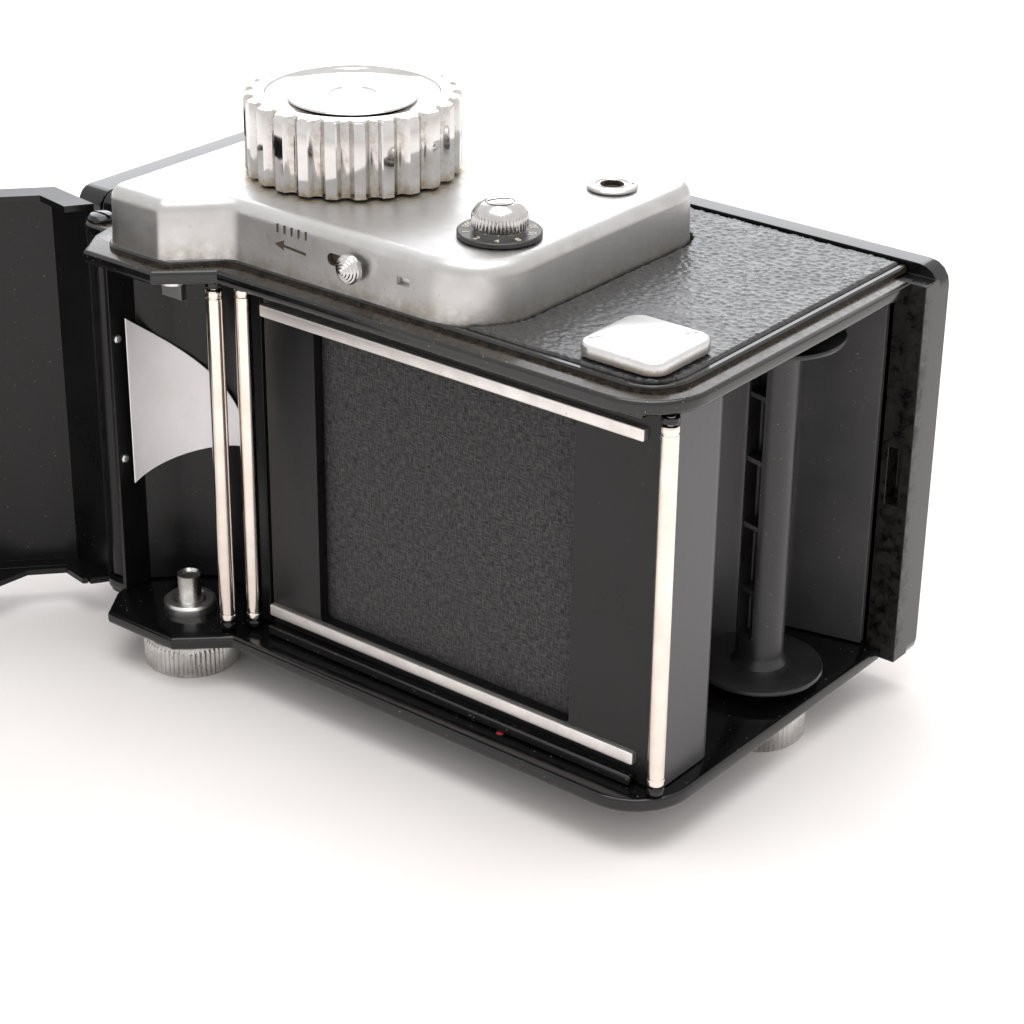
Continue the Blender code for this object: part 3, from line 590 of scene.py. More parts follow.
def band(path, section, closed=False, axis="Z"):
    # a section of (offset, height) points carried along a path
    mesh = bmesh.new()
    lines = []
    for distance, height in section:
        lines.append([facing[axis](u, v, height) for u, v in shifted(path, distance, closed)])
    rings = [[mesh.verts.new(p) for p in line] for line in lines]
    count = len(path)
    for k, one in enumerate(rings):
        other = rings[(k + 1) % len(rings)]
        for i in range(count if closed else count - 1):
            j = (i + 1) % count
            mesh.faces.new([one[i], one[j], other[j], other[i]])
    if not closed:
        mesh.faces.new([ring[0] for ring in rings][::-1])
        mesh.faces.new([ring[-1] for ring in rings])
    return mesh


def turned(profile, centre, axis="Z", steps=72, knurl=None):
    # a profile of (radius, height) turned on a lathe; knurl is (from radius, teeth, depth)
    mesh = bmesh.new()
    if knurl:
        steps = knurl[1] * 4
    rings = []
    for radius, height in profile:
        points = []
        for i in range(steps if radius > 1e-6 else 1):
            reach = radius
            if knurl and radius >= knurl[0]:
                reach -= knurl[2] * (0.0, 0.5, 1.0, 0.5)[i % 4]
            turn = 2 * pi * i / steps
            points.append(facing[axis](centre[0] + reach * cos(turn), centre[1] + reach * sin(turn), height))
        rings.append([mesh.verts.new(point) for point in points])
    pairs = list(zip(rings, rings[1:]))
    if profile[0][0] > 1e-6:
        pairs.append((rings[-1], rings[0]))
    for one, other in pairs:
        for i in range(steps):
            j = (i + 1) % steps
            corners = [one[i % len(one)], one[j % len(one)], other[j % len(other)], other[i % len(other)]]
            unique = list(dict.fromkeys(corners))
            if len(unique) > 2:
                mesh.faces.new(unique)
    return mesh


def plug(radius, low, high, centre, steps=72):
    # a plain cylinder, for cutting holes
    return turned([(0, low), (radius, low), (radius, high), (0, high)], centre, steps=steps)


def spun(mesh, turn, centre=(0, 0)):
    # the mesh turned in plan by some degrees
    matrix = Matrix.Rotation(radians(turn), 3, "Z")
    bmesh.ops.rotate(mesh, verts=mesh.verts, cent=(*centre, 0), matrix=matrix)
    return mesh


def joined(*meshes):
    whole = bmesh.new()
    for mesh in meshes:
        data = bpy.data.meshes.new("part")
        mesh.to_mesh(data)
        mesh.free()
        whole.from_mesh(data)
        bpy.data.meshes.remove(data)
    return whole


def asObject(name, mesh, metres=False, turn=None):
    bmesh.ops.recalc_face_normals(mesh, faces=mesh.faces)
    if turn:
        bmesh.ops.transform(mesh, matrix=turn, verts=mesh.verts)
    if not metres:
        bmesh.ops.scale(mesh, verts=mesh.verts, vec=(mm, mm, mm))
        bmesh.ops.translate(mesh, verts=mesh.verts, vec=gate)
    data = bpy.data.meshes.new(name)
    mesh.to_mesh(data)
    mesh.free()
    made = bpy.data.objects.new(name, data)
    bpy.context.scene.collection.objects.link(made)
    return made


def settle(made):
    # a modifier's result becomes the object's own mesh
    graph = bpy.context.evaluated_depsgraph_get()
    data = bpy.data.meshes.new_from_object(made.evaluated_get(graph))
    made.modifiers.clear()
    made.data = data


def build(
    name, mesh, material, body, stands=(), cuts=(), edge=0.0, crease=32, metres=False, turn=None,
):
    # One shown piece. It rides on its body, and stands for the CAD nodes named.
    made = asObject(name, mesh, metres, turn)
    helpers = []
    for k, cut in enumerate(cuts):
        helper = asObject(f"{name}.cut{k}", cut, turn=turn)
        change = made.modifiers.new(helper.name, "BOOLEAN")
        change.operation, change.solver, change.object = "DIFFERENCE", "EXACT", helper
        helpers.append(helper)
    if helpers:
        settle(made)
        for helper in helpers:
            bpy.data.objects.remove(helper)
    if edge:
        change = made.modifiers.new("edges", "BEVEL")
        change.width, change.segments, change.limit_method = edge * mm, 2, "ANGLE"
        change.angle_limit = radians(30)
        settle(made)
    made.data.shade_smooth()
    made.data.set_sharp_from_angle(angle=radians(crease))
    if edge:  # big faces keep their own direction, so that flats stay flat between rounded edges
        change = made.modifiers.new("flats", "WEIGHTED_NORMAL")
        change.keep_sharp, change.weight = True, 100
        settle(made)
    made.data.materials.clear()
    made.data.materials.append(material)
    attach(made, body)
    if stands:
        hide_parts(*stands)
    return made


def softened(nodeName, name, material, edge, crease=32):
    # a CAD solid's own shape with its edges rounded
    mesh = bmesh.new()
    mesh.from_mesh(frame["nodes"][nodeName].data)
    bmesh.ops.remove_doubles(mesh, verts=mesh.verts, dist=0.005 * mm)
    bmesh.ops.dissolve_limit(mesh, angle_limit=radians(0.8), verts=mesh.verts, edges=mesh.edges)
    body = frame["nodes"][nodeName]["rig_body"]
    return build(name, mesh, material, body, (nodeName,), edge=edge, crease=crease, metres=True)


# Side plates: pressed steel, with a rounded rim and a raised step that frames the leather.

plate = {
    "hinge": (-78.0, 0.0), "earRadius": 3.0, "back": -5.3, "bumpBack": -12.9, "bottom": 49.6, "top": -74.2,
    "front": 70.7, "rimEnd": 66.6, "corner": 11.5, "edge": 0.7, "nick": 0.5,
}
rightPlate, leftPlate = spot("right_side_plate"), spot("left_side_plate")


def plateOutline():
    p = plate
    nick = p["nick"]
    corners = [
        (-74.0, -p["earRadius"], 0), (-73.1, -6.5, nick), (-68.9, p["bumpBack"], nick), (-52.2, p["bumpBack"], nick),
        (-44.1, p["back"], nick), (p["bottom"], p["back"], p["corner"]), (p["bottom"], p["rimEnd"], 0),
        (46.2, p["rimEnd"], 0), (46.2, p["front"], 0), (p["top"], p["front"], 0), (p["top"], p["earRadius"], 0),
    ]
    return arc(p["hinge"], p["earRadius"], 90, 270, 14) + rounded(corners, 16)


step = {"half": 0.7, "height": 1.3, "round": 0.35}


def stepBand(corners, foot, lift):
    # the raised step: flat on the plate, with two rounded shoulders
    half, ease, top = step["half"], step["round"], foot + step["height"] * lift
    shoulder = [(half, top - ease * lift), (half - 0.15, top - 0.13 * lift), (half - ease, top)]
    section = [(half, foot), *shoulder, *[(-x, z) for x, z in reversed(shoulder)], (-half, foot)]
    return band(rounded(corners, 10, closed=False), section)


# the step stays just inside the rim of the closed back
stepEnd = [(45.75, -0.95, 7.3), (45.75, 70.4, 0)]
rightStep = [(-66.9, 6.0, 0), (-66.9, -9.5, 3.6), (-52.6, -9.5, 2.6), (-44.7, -0.95, 5.4), *stepEnd]
leftStep = [(-73.4, -0.95, 0), *stepEnd]
holes = {"spindle": 3.1, "pin": 2.85, "focus": 2.6}
takeup, supply, focus = plan(takeupSpot), plan(supplySpot), plan(focusSpot)
build(
    "rightSidePlate", softSlab(plateOutline(), rightPlate[0].z, rightPlate[1].z, plate["edge"]),
    dustyEnamel, "camera_body", ("right_side_plate",), cuts=[plug(holes["spindle"], 30, 40, takeup)],
)
build("rightPlateStep", stepBand(rightStep, rightPlate[1].z - 0.2, 1), dustyEnamel, "camera_body")
leftHoles = ((takeup, "pin"), (supply, "pin"), (focus, "focus"))
build(
    "leftSidePlate", softSlab(plateOutline(), leftPlate[0].z, leftPlate[0].z + 2.5, plate["edge"]),
    glossEnamel, "camera_body", ("left_side_plate",),
    cuts=[plug(holes[kind], -40, -30, at) for at, kind in leftHoles],
)
build("leftPlateStep", stepBand(leftStep, leftPlate[0].z + 0.2, -1), glossEnamel, "camera_body")
# The take-up pin's collar: a turned bush.
collar = [(2.85, -34.6), (4.9, -34.6), (4.9, -32.9), (4.5, -32.5), (3.4, -32.4), (2.85, -32.9)]
build("takeupCollar", turned(eased(collar, 0.2), takeup), plainSatin, "camera_body")
screwHead = [(0, -0.1), (2.5, -0.1), (2.5, 0.5), (1.9, 1.1), (0, 1.35)]
for name, foot, lift in (("right", rightPlate[1].z, 1), ("left", leftPlate[0].z, -1)):
    head = [(r, foot + h * lift) for r, h in eased(screwHead, 0.4)]
    middle = foot + 0.9 * lift
    cut = block((-80.6, -0.3, middle - 0.3), (-75.4, 0.3, middle + 1.0), 0.05)
    build(
        f"{name}HingeScrew", turned(head, plate["hinge"]), glossEnamel, "camera_body",
        cuts=[cut],
    )
print("side plates built")

# Leather: the pebbles are raised in the mesh, one vertex about every 0.4 mm.

leather = {
    "pebble": 1.05, "height": 0.24, "pitch": 0.38, "rowShare": 0.87, "margin": 0.25, "warp": 0.4,
    "stretch": 0.62, "edgeDrop": 0.35,
}


def pebble(x, y, seed):
    # how high the grain stands at a point, from 0 in a valley to 1 on a crown
    at = Vector((x * leather["stretch"], y, seed)) / leather["pebble"]
    at += noise.noise_vector(at * 0.9) * leather["warp"]
    near = noise.voronoi(at)[0]
    crown = min(1.0, (near[1] - near[0]) * 3.0)
    fine = noise.noise(Vector((x, y, seed)) * 1.3) * 0.2
    return max(0.0, min(1.0, crown * (0.75 + fine) + fine * 0.4 + 0.1))


def leatherSheet(name, outline, base, top, stands, seed, body="camera_body", turn=None, swap=False):
    # the outline filled with a fine grid, grained on top and closed below; swap lays it across y
    pitch = leather["pitch"]
    ring = []
    for a, b in zip(outline, outline[1:] + outline[:1]):
        pieces = max(1, round(hypot(b[0] - a[0], b[1] - a[1]) / pitch))
        for k in range(pieces):
            ring.append((a[0] + (b[0] - a[0]) * k / pieces, a[1] + (b[1] - a[1]) * k / pieces))
    low = [min(p[i] for p in ring) for i in (0, 1)]
    high = [max(p[i] for p in ring) for i in (0, 1)]
    grid = []  # staggered rows of vertices inside the outline
    margin = leather["margin"]
    rows = int((high[1] - low[1] - margin * 2) / (pitch * leather["rowShare"]))
    columns = int((high[0] - low[0] - margin * 2) / pitch)
    for row in range(rows + 1):
        y = low[1] + margin + row * pitch * leather["rowShare"]
        for column in range(columns + 1):
            grid.append((low[0] + margin + (column + (row % 2) / 2) * pitch, y))
    count = len(ring)
    edges = [(i, (i + 1) % count) for i in range(count)]
    wanted = [Vector(p) for p in ring + grid]
    points, _, faces, sources = delaunay_2d_cdt(wanted, edges, [], 1, 1e-4)[:4]
    rim = {i for i, source in enumerate(sources) if any(k < count for k in source)}
    lift = 1 if top > base else -1
    crown = top - lift * leather["height"]
    mesh = bmesh.new()
    layer = mesh.verts.layers.float.new("valley")
    order = (lambda x, y, z: (x, z, y)) if swap else (lambda x, y, z: (x, y, z))
    verts = []
    for i, (x, y) in enumerate(points):
        raised = pebble(x, y, seed)
        change = -leather["edgeDrop"] if i in rim else leather["height"] * raised
        vert = mesh.verts.new(order(x, y, crown + lift * change))
        vert[layer] = 1.0 - raised
        verts.append(vert)
    for face in faces:
        mesh.faces.new([verts[i] for i in face])
    border = [e for e in mesh.edges if e.is_boundary]
    skirt = bmesh.ops.extrude_edge_only(mesh, edges=border)["geom"]
    for item in skirt:
        if isinstance(item, bmesh.types.BMVert):
            x, y = (item.co.x, item.co.z) if swap else (item.co.x, item.co.y)
            item.co = order(x, y, base)
    bmesh.ops.delete(mesh, geom=[v for v in mesh.verts if not v.link_faces], context="VERTS")
    loose = [e for e in mesh.edges if e.is_boundary]
    bmesh.ops.contextual_create(mesh, geom=loose)
    return build(name, mesh, leatherette, body, stands, crease=60, turn=turn)


rightLeather, leftLeather = spot("right_leather"), spot("left_leather")
leatherSheet(
    "rightLeatherPanel",
    rounded([(7.1, 0.0, 0), (45.0, 0.0, 6.4), (45.0, 70.5, 0), (-73.6, 70.5, 0), (-73.6, 61.0, 0)], 8)
    + arc((4.0, 52.6), 8.4, 90, 0, 10) + arc((0.0, 10.6), 12.4, 0, -54, 10),
    rightLeather[0].z, rightLeather[1].z, ("right_leather",), 0.0,
)
leatherSheet(
    "leftLeatherPanel", rounded([(-73.6, 0.4, 0), (45.0, 0.4, 6.4), (45.0, 70.5, 0), (-73.6, 70.5, 0)], 8),
    leftLeather[1].z, leftLeather[0].z, ("left_leather",), 31.0,
)
print("leather built")

# Winding housing: a chromed casting with a soft shoulder, a slot, a peep hole and engraved marks.

housing = {
    "corners": [
        (-67.0, -9.9, 4), (-52.5, -9.9, 3), (-44.5, -1.4, 5), (12.0, -1.4, 12), (12.0, 60.6, 8), (-67.0, 60.6, 6),
    ],
    "wall": 1.2, "shoulder": 2.4, "flare": 0.35, "shoulderSteps": 8, "markDepth": 0.28,
}


def housingShell():
    # the foot flares a little where the casting was faced off; the shoulder is a quarter round
    foot, top, size, flare = leatherBase, housingTop, housing["shoulder"], housing["flare"]
    profile = [(0, foot), (0.02, foot + 0.8), (flare * 0.5, foot + 3.2), (flare, top - size)]
    for k in range(1, housing["shoulderSteps"] + 1):
        turn = pi / 2 * k / housing["shoulderSteps"]
        profile.append((flare + size * (1 - cos(turn)), top - size + size * sin(turn)))
    return loft(rounded(housing["corners"], 12), profile)


backWall = -1.4
mark = housing["markDepth"]
arrow = [
    (-34.2, 43.1), (-31.9, 42.2), (-32.1, 42.85), (-27.0, 42.5), (-27.0, 43.0), (-32.0, 43.35), (-31.9, 44.1),
]
tick = {"wide": 0.35, "low": 45.2, "high": 46.7, "places": (-33.6, -32.0, -30.4, -28.8, -27.2)}
marks = [arrow]
for x in tick["places"]:
    end = x + tick["wide"]
    marks.append([(x, tick["low"]), (end, tick["low"]), (end, tick["high"]), (x, tick["high"])])
hollow = shifted(rounded(housing["corners"], 8), housing["wall"], True)
housingCuts = [loft(hollow, [(0, leatherBase - 1), (0, housingTop - 1.6)])]
housingCuts += [plug(r, 44, 50, at, 28) for r, at in ((3.1, knobSpot), (2.3, dialSpot), (3.2, socketSpot))]
housingCuts += [
    prism(rectangle((-22.2, 42.3), (-14.9, 44.4), 1.0, 5), backWall - 2, backWall + 2.4, "Y"),  # button slot
    prism(rectangle((-7.0, 42.5), (-4.4, 43.9), 0.15, 2), backWall - 1, backWall + 2.4, "Y"),  # peep hole
]
housingCuts += [prism(outline, backWall - 1, backWall + mark + 0.2, "Y") for outline in marks]
build("windHousing", housingShell(), satinChrome, "camera_body", ("wind_housing",), cuts=housingCuts, crease=38)
# The dirt that fills the marks, the brown liner seen through the slot, which is painted shade for the hollow behind
# it, and a pale one in the peep hole.
fills = [prism(outline, backWall + mark - 0.02, backWall + mark + 0.15, "Y") for outline in marks]
liners = (
    ("engravedMarkFill", joined(*fills), slotDirtAndShade),
    ("slotLiner", block((-24.0, -0.05, 41.4), (-15.6, 0.3, 45.2), 0.1), slotDirtAndShade),
    ("peepHoleLiner", block((-7.6, -0.1, 42.1), (-4.1, 0.2, 44.4), 0.1), milledAluminium),
)
for name, mesh, material in liners:
    build(name, mesh, material, "camera_body")

# Fluted winding knob.
knob = {"flutes": 24, "depth": 1.2, "share": 0.52, "fluteSteps": 16, "runOut": (17.0, 18.5), "dish": 61.3}
knobLow, knobHigh = spot("wind_knob")


def flutedKnob():
    # each loop is a circle with concave flutes; the last loops turn in and down to form the dish
    top = knobHigh.z
    profile = [(15.0, knobLow.z), (18.5, knobLow.z), (18.88, knobLow.z + 0.15), (19.0, knobLow.z + 0.5)]
    profile += [(19.0, top - 0.8), (18.75, top - 0.25), (18.2, top)]
    profile += [(15.9, top), (15.4, top - 0.15), (15.2, top - 0.5)]
    profile += [(14.6, knob["dish"] + 0.4), (13.2, knob["dish"]), (2.0, knob["dish"])]
    steps, (inner, outer) = knob["fluteSteps"], knob["runOut"]
    mesh = bmesh.new()
    loops = []
    for radius, height in profile:
        share = max(0.0, min(1.0, (radius - inner) / (outer - inner)))  # the flutes run out before the dish
        loop = []
        for k in range(knob["flutes"] * steps):
            turn = 2 * pi * k / (knob["flutes"] * steps)
            inside = abs(k % steps / steps - 0.5) / (knob["share"] / 2)
            drop = knob["depth"] * (1 - inside ** 2) ** 0.5 if inside < 1 else 0.0
            reach = radius - drop * share
            loop.append((knobSpot.x + reach * cos(turn), knobSpot.y + reach * sin(turn), height))
        loops.append(loop)
    skin(mesh, loops)
    return mesh


build("windKnob", flutedKnob(), fluteChrome, "wind_knob", ("wind_knob",), crease=28)
crown = [(0, 61.2), (11.0, 61.2), (11.6, 61.5), (11.2, 61.75), (8.0, 61.95), (4.2, 62.0), (4.0, 61.7), (0, 61.7)]
build("windKnobCrown", turned(eased(crown, 0.2), knobSpot), fluteChrome, "wind_knob")

# Speed dial: a lacquered disc with figures, under a milled and domed screw knob.
dial = {
    "disc": 7.1, "knob": 4.75, "teeth": 44, "toothDepth": 0.34, "slotTurn": -38,
    "numeral": 1.75, "reach": 5.75, "firstTurn": -128, "turnEach": 36, "paint": 0.03,
    "figures": ("1", "2", "4", "8", "15", "30", "60", "125", "250", "500"),
}
dialFoot = spot("speed_dial")[0].z
disc = [(0, dialFoot), (2.2, dialFoot), (2.2, 48.8), (dial["disc"], 48.8), (dial["disc"], 49.45)]
disc += [(6.9, 49.6), (3.0, 49.6), (0, 49.6)]
build("speedDialDisc", turned(disc, dialSpot, steps=96), dialLacquer, "speed_dial", ("speed_dial",))
top = [(0, 49.5), (4.3, 49.5), (4.3, 50.1), (dial["knob"], 50.4), (dial["knob"], 52.3)]
top += [(4.4, 52.9), (3.9, 53.6), (2.9, 54.3), (1.6, 54.75), (0, 54.9)]
slotCut = block((dialSpot.x - 0.28, dialSpot.y - 2.2, 54.2), (dialSpot.x + 0.28, dialSpot.y + 2.2, 56), 0.03)
spun(slotCut, dial["slotTurn"], plan(dialSpot))
ringCut = turned([(2.25, 54.15), (2.5, 54.15), (2.5, 56), (2.25, 56)], dialSpot)
build(
    "speedDialKnob", turned(top, dialSpot, knurl=(4.6, dial["teeth"], dial["toothDepth"])), turnedChrome,
    "speed_dial", cuts=[slotCut, ringCut], crease=40,
)


def lettering(words, places, size, depth):
    # figures as thin raised paint, each laid flat at its own matrix
    meshes = bmesh.new()
    for word, matrix in zip(words, places):
        curve = bpy.data.curves.new("figure", "FONT")
        curve.body, curve.size, curve.extrude = word, size, depth
        curve.align_x = curve.align_y = "CENTER"
        holder = bpy.data.objects.new("figure", curve)
        bpy.context.scene.collection.objects.link(holder)
        bpy.context.view_layer.update()
        graph = bpy.context.evaluated_depsgraph_get()
        data = bpy.data.meshes.new_from_object(holder.evaluated_get(graph))
        data.transform(matrix)
        meshes.from_mesh(data)
        bpy.data.objects.remove(holder)
        bpy.data.meshes.remove(data)
    bmesh.ops.remove_doubles(meshes, verts=meshes.verts, dist=0.001)
    return meshes


places = []
for k in range(len(dial["figures"])):
    turn = radians(dial["firstTurn"] + k * dial["turnEach"])
    at = Vector((dialSpot.x + dial["reach"] * cos(turn), dialSpot.y + dial["reach"] * sin(turn), 49.62))
    places.append(Matrix.Translation(at) @ Matrix.Rotation(turn + pi / 2, 4, "Z"))
figures = lettering(dial["figures"], places, dial["numeral"], dial["paint"])
build("dialFigures", figures, bonePaint, "speed_dial", crease=30)

# Cable release socket: stepped ring with spanner holes and a threaded throat.
socket = {"spanner": 3.55, "spannerTurn": 38, "bore": 2.15, "threads": 8, "pitch": 0.42, "threadDepth": 0.18}
socketProfile = [(2.1, 44.5), (3.1, 44.5), (3.1, 48.7), (4.5, 48.7), (4.5, 49.05), (4.2, 49.3), (3.0, 49.3)]
socketProfile += [(2.8, 49.05), (2.45, 49.05), (2.3, 49.3), (2.1, 49.2)]
spannerHoles = []
turn = radians(socket["spannerTurn"])
for side in (-1, 1):
    reach = side * socket["spanner"]
    at = (socketSpot.x + reach * cos(turn), socketSpot.y + reach * sin(turn))
    spannerHoles.append(plug(0.32, 48.9, 50, at, 12))
build(
    "releaseSocket", turned(eased(socketProfile, 0.08), socketSpot), turnedChrome, "camera_body",
    ("release_socket",), cuts=spannerHoles,
)
throat = [(0, 44.6), (socket["bore"], 44.6)]
for k in range(socket["threads"]):
    radius = socket["bore"] - socket["threadDepth"] * (k % 2)
    throat += [(radius, 44.9 + socket["pitch"] * k), (radius, 45.1 + socket["pitch"] * k)]
throat += [(socket["bore"], 48.3), (1.5, 48.0), (1.35, 46.6), (0, 46.6)]
# the threaded throat is coloured dark brown: painted shade deep in the socket's hole
build("releaseSocketThroat", turned(throat, socketSpot), slotDirtAndShade, "camera_body")

# Reset button: a stepped cone that a fingertip slides along its slot.
resetLow, resetHigh = spot("reset_button")
resetAxis = ((resetLow.x + resetHigh.x) / 2, (resetLow.z + resetHigh.z) / 2)
rings = [(0, resetLow.y)]
for k, (radius, height) in enumerate(((0.45, 0.0), (0.9, 0.32), (1.35, 0.66), (1.8, 1.02), (2.2, 1.4))):
    rings += [(radius, resetLow.y + height), (radius + 0.12, resetLow.y + height + 0.3)]
rings += [(2.5, resetLow.y + 1.9), (2.5, resetLow.y + 2.7), (2.2, resetLow.y + 3.0)]
rings += [(0.75, resetLow.y + 3.05), (0.75, resetHigh.y), (0, resetHigh.y)]
button = turned(eased(rings, 0.06), resetAxis, "Y")
build("resetButton", button, turnedChrome, "reset_button", ("reset_button",), crease=25)

# Square cap: satin plate on a screwed foot, with a witness line cut at each side.
capLow, capHigh = spot("square_cap")
cap = {"lines": ((29.2, 4.6), (39.6, 15.2)), "lineTurn": 58, "lineHalf": 1.4, "lineWide": 0.16, "corner": 3.2}


def capLine(at, wide, low, high):
    reach = cap["lineHalf"]
    bar = block((at[0] - reach, at[1] - wide, low), (at[0] + reach, at[1] + wide, high), 0.02)
    return spun(bar, cap["lineTurn"], at)


capOutline = rectangle(plan(capLow), plan(capHigh), cap["corner"], 10)
capTop = capHigh.z
capProfile = [(0.1, capLow.z), (0, capLow.z + 0.2), (0.05, capTop - 0.55), (0.18, capTop - 0.2), (0.5, capTop)]
build(
    "squareCap", loft(capOutline, capProfile), plainSatin, "camera_body", ("square_cap",), crease=45,
    cuts=[capLine(at, cap["lineWide"], capTop - 0.3, capTop + 1) for at in cap["lines"]],
)
lineDirt = [capLine(at, cap["lineWide"] + 0.01, capTop - 0.31, capTop - 0.16) for at in cap["lines"]]
build("squareCapLineFill", joined(*lineDirt), slotDirtAndShade, "camera_body")
print("winding side built")

# Film gate: a painted frame that carries two pale machined rails and two black outer ones.
gateBox = spot("film_gate")
film = {
    "opening": 28.0, "frame": 34.1, "frameTop": 1.2, "railEnds": (-39.5, 42.0), "railFoot": 1.5,
    # each pair of rails: near and far edge from the middle, and how high it stands
    "inner": (28.15, 30.4, 0.0), "outer": (32.2, 34.0, -0.6),
}
frameOutline = rectangle((gateBox[0].x, -film["frame"]), (gateBox[1].x, film["frame"]), 0.6, 3)
window = rectangle((-film["opening"],) * 2, (film["opening"],) * 2, 0.8, 4)
build(
    "gateFrame", softSlab(frameOutline, film["frameTop"], gateBox[1].y, 0.3, "Y"), mattPaint, "camera_body",
    ("film_gate",), cuts=[prism(window, -1, 6, "Y")],
)
for pair, material in (("inner", milledAluminium), ("outer", dustyEnamel)):
    near, far, top = film[pair]
    start, end = film["railEnds"]
    rails = []
    for low, high in ((-far, -near), (near, far)):
        rail = rectangle((start, low), (end, high), 0.35, 3)
        rails.append(softSlab(rail, top, film["railFoot"], 0.28, "Y"))
    build(f"{pair}FilmRails", joined(*rails), material, "camera_body")

# A dab of the fitter's red paint on the lower side plate.
dab = [(0, -34.5), (0.75, -34.5), (0.7, -34.3), (0.45, -34.18), (0, -34.12)]
build("redPaintDab", turned(dab, (14.7, -0.4), steps=20), signalRed, "camera_body")

# Cloth blind: stretched flat behind the gate, with a hem where a lath stiffens it.
cloth = {"columns": 68, "rows": 60, "wave": 0.06, "ripple": 0.03, "hem": 0.1, "hemAt": 11.0, "hemHalf": 1.6}
blindLow, blindHigh = spot("gate_blind")


def clothBlind():
    mesh = bmesh.new()
    columns, rows = cloth["columns"], cloth["rows"]
    middle = (blindLow.y + blindHigh.y) / 2
    grid = []
    for i in range(columns + 1):
        x = blindLow.x + (blindHigh.x - blindLow.x) * i / columns
        line = []
        for j in range(rows + 1):
            z = blindLow.z + (blindHigh.z - blindLow.z) * j / rows
            wave = cloth["wave"] * noise.noise(Vector((x / 16, z / 40, 3.0)))
            wave += cloth["ripple"] * noise.noise(Vector((x / 5, z / 9, 9.0)))
            hem = cloth["hem"] * max(0.0, 1 - abs(x - blindLow.x - cloth["hemAt"]) / cloth["hemHalf"])
            line.append(mesh.verts.new((x, middle - wave - hem, z)))
        grid.append(line)
    for i in range(columns):
        for j in range(rows):
            mesh.faces.new([grid[i][j], grid[i + 1][j], grid[i + 1][j + 1], grid[i][j + 1]])
    # closes the sheet with a second layer; the faces have no normals yet, so it lies on the first
    bmesh.ops.solidify(mesh, geom=list(mesh.faces), thickness=0.12)
    return mesh


blind = build("gateBlindCloth", clothBlind(), blindCloth, "camera_body", ("gate_blind",), crease=50)

# Film rollers: nickelled rods, necked at each end and seated in black bushes.
for side in ("upper", "middle", "lower"):
    low, high = spot(f"{side}_film_roller")
    at, reach = ((low.x + high.x) / 2, (low.y + high.y) / 2), high.z
    rod = [(0, -reach), (0.75, -reach), (0.75, -reach + 1.5), (1.35, -reach + 1.6), (1.5, -reach + 1.9)]
    rod += [(1.5, -reach + 2.6), (1.38, -reach + 2.75), (1.38, -reach + 3.0), (1.5, -reach + 3.15)]
    rod += [(r, -h) for r, h in reversed(rod)]
    body = f"{side}_film_roller"
    build(f"{side}FilmRoller", turned(eased(rod, 0.08), at, steps=32), nickelRod, body, (body,))
    bushes = []
    for lift in (-1, 1):
        ring = [(0.9, reach - 0.05), (1.5, reach - 0.05), (1.5, reach - 0.9), (1.3, reach - 1.2), (0.9, reach - 1.2)]
        bushes.append(turned([(r, h * lift) for r, h in eased(ring, 0.15)], at, steps=28))
    build(f"{side}RollerBushes", joined(*bushes), glossEnamel, "camera_body")
print("film gate built")

# Film chambers: the supply wall is one bent sheet, and a leaf spring lies in each chamber, its flat white a painted
# reflection.
chamber = {
    "wallHalf": 0.8, "spring": 11.5, "thick": 0.25, "from": 187.0, "to": 60.0, "steps": 40,
    # the strip's top and foot at one angle, and how far they draw in with each degree from there
    "angle": 185.5, "top": 20.6, "topFall": 0.154, "foot": -11.8, "footRise": 0.066,
    "rivets": (16.5, -7.3), "screws": (31.2, -30.2),
}
chamberPath = [(45.8, 3.0, 0), (45.8, 15.0, 3), (42.0, 18.6, 3), (33.0, 24.0, 6), (25.8, 33.0, 9)]
chamberPath += [(23.8, 44.0, 14), (25.8, 55.0, 9), (31.0, 63.0, 4), (46.0, 66.3, 0)]
wallHeight, wallHalf = spot("supply_chamber_wall")[1].z, chamber["wallHalf"]
section = [(wallHalf, -wallHeight), (wallHalf, wallHeight), (-wallHalf, wallHeight), (-wallHalf, -wallHeight)]
# the supply wall's lighter grey lacquer is a painted reflection; the take-up wall keeps the matt black paint
build(
    "supplyChamberWall", band(rounded(chamberPath, 8, closed=False), section), chamberLacquerPaintedReflection, "camera_body",
    ("supply_chamber_wall",), edge=0.2, crease=30,
)
softened("takeup_chamber_wall", "takeupChamberWall", mattPaint, 0.15, crease=30)


def takeupSpring():
    # a strip cut as a long trapezoid and curled to the chamber
    mesh = bmesh.new()
    loops = []
    for k in range(chamber["steps"] + 1):
        angle = chamber["from"] + (chamber["to"] - chamber["from"]) * k / chamber["steps"]
        top = chamber["top"] - (chamber["angle"] - angle) * chamber["topFall"]
        foot = chamber["foot"] + (chamber["angle"] - angle) * chamber["footRise"]
        turn, face, back = radians(angle), chamber["spring"], chamber["spring"] + chamber["thick"]
        loop = []
        for radius, z in ((face, foot), (face, top), (back, top), (back, foot)):
            loop.append((takeup[0] + radius * cos(turn), takeup[1] + radius * sin(turn), z))
        loops.append(loop)
    skin(mesh, loops)
    return mesh


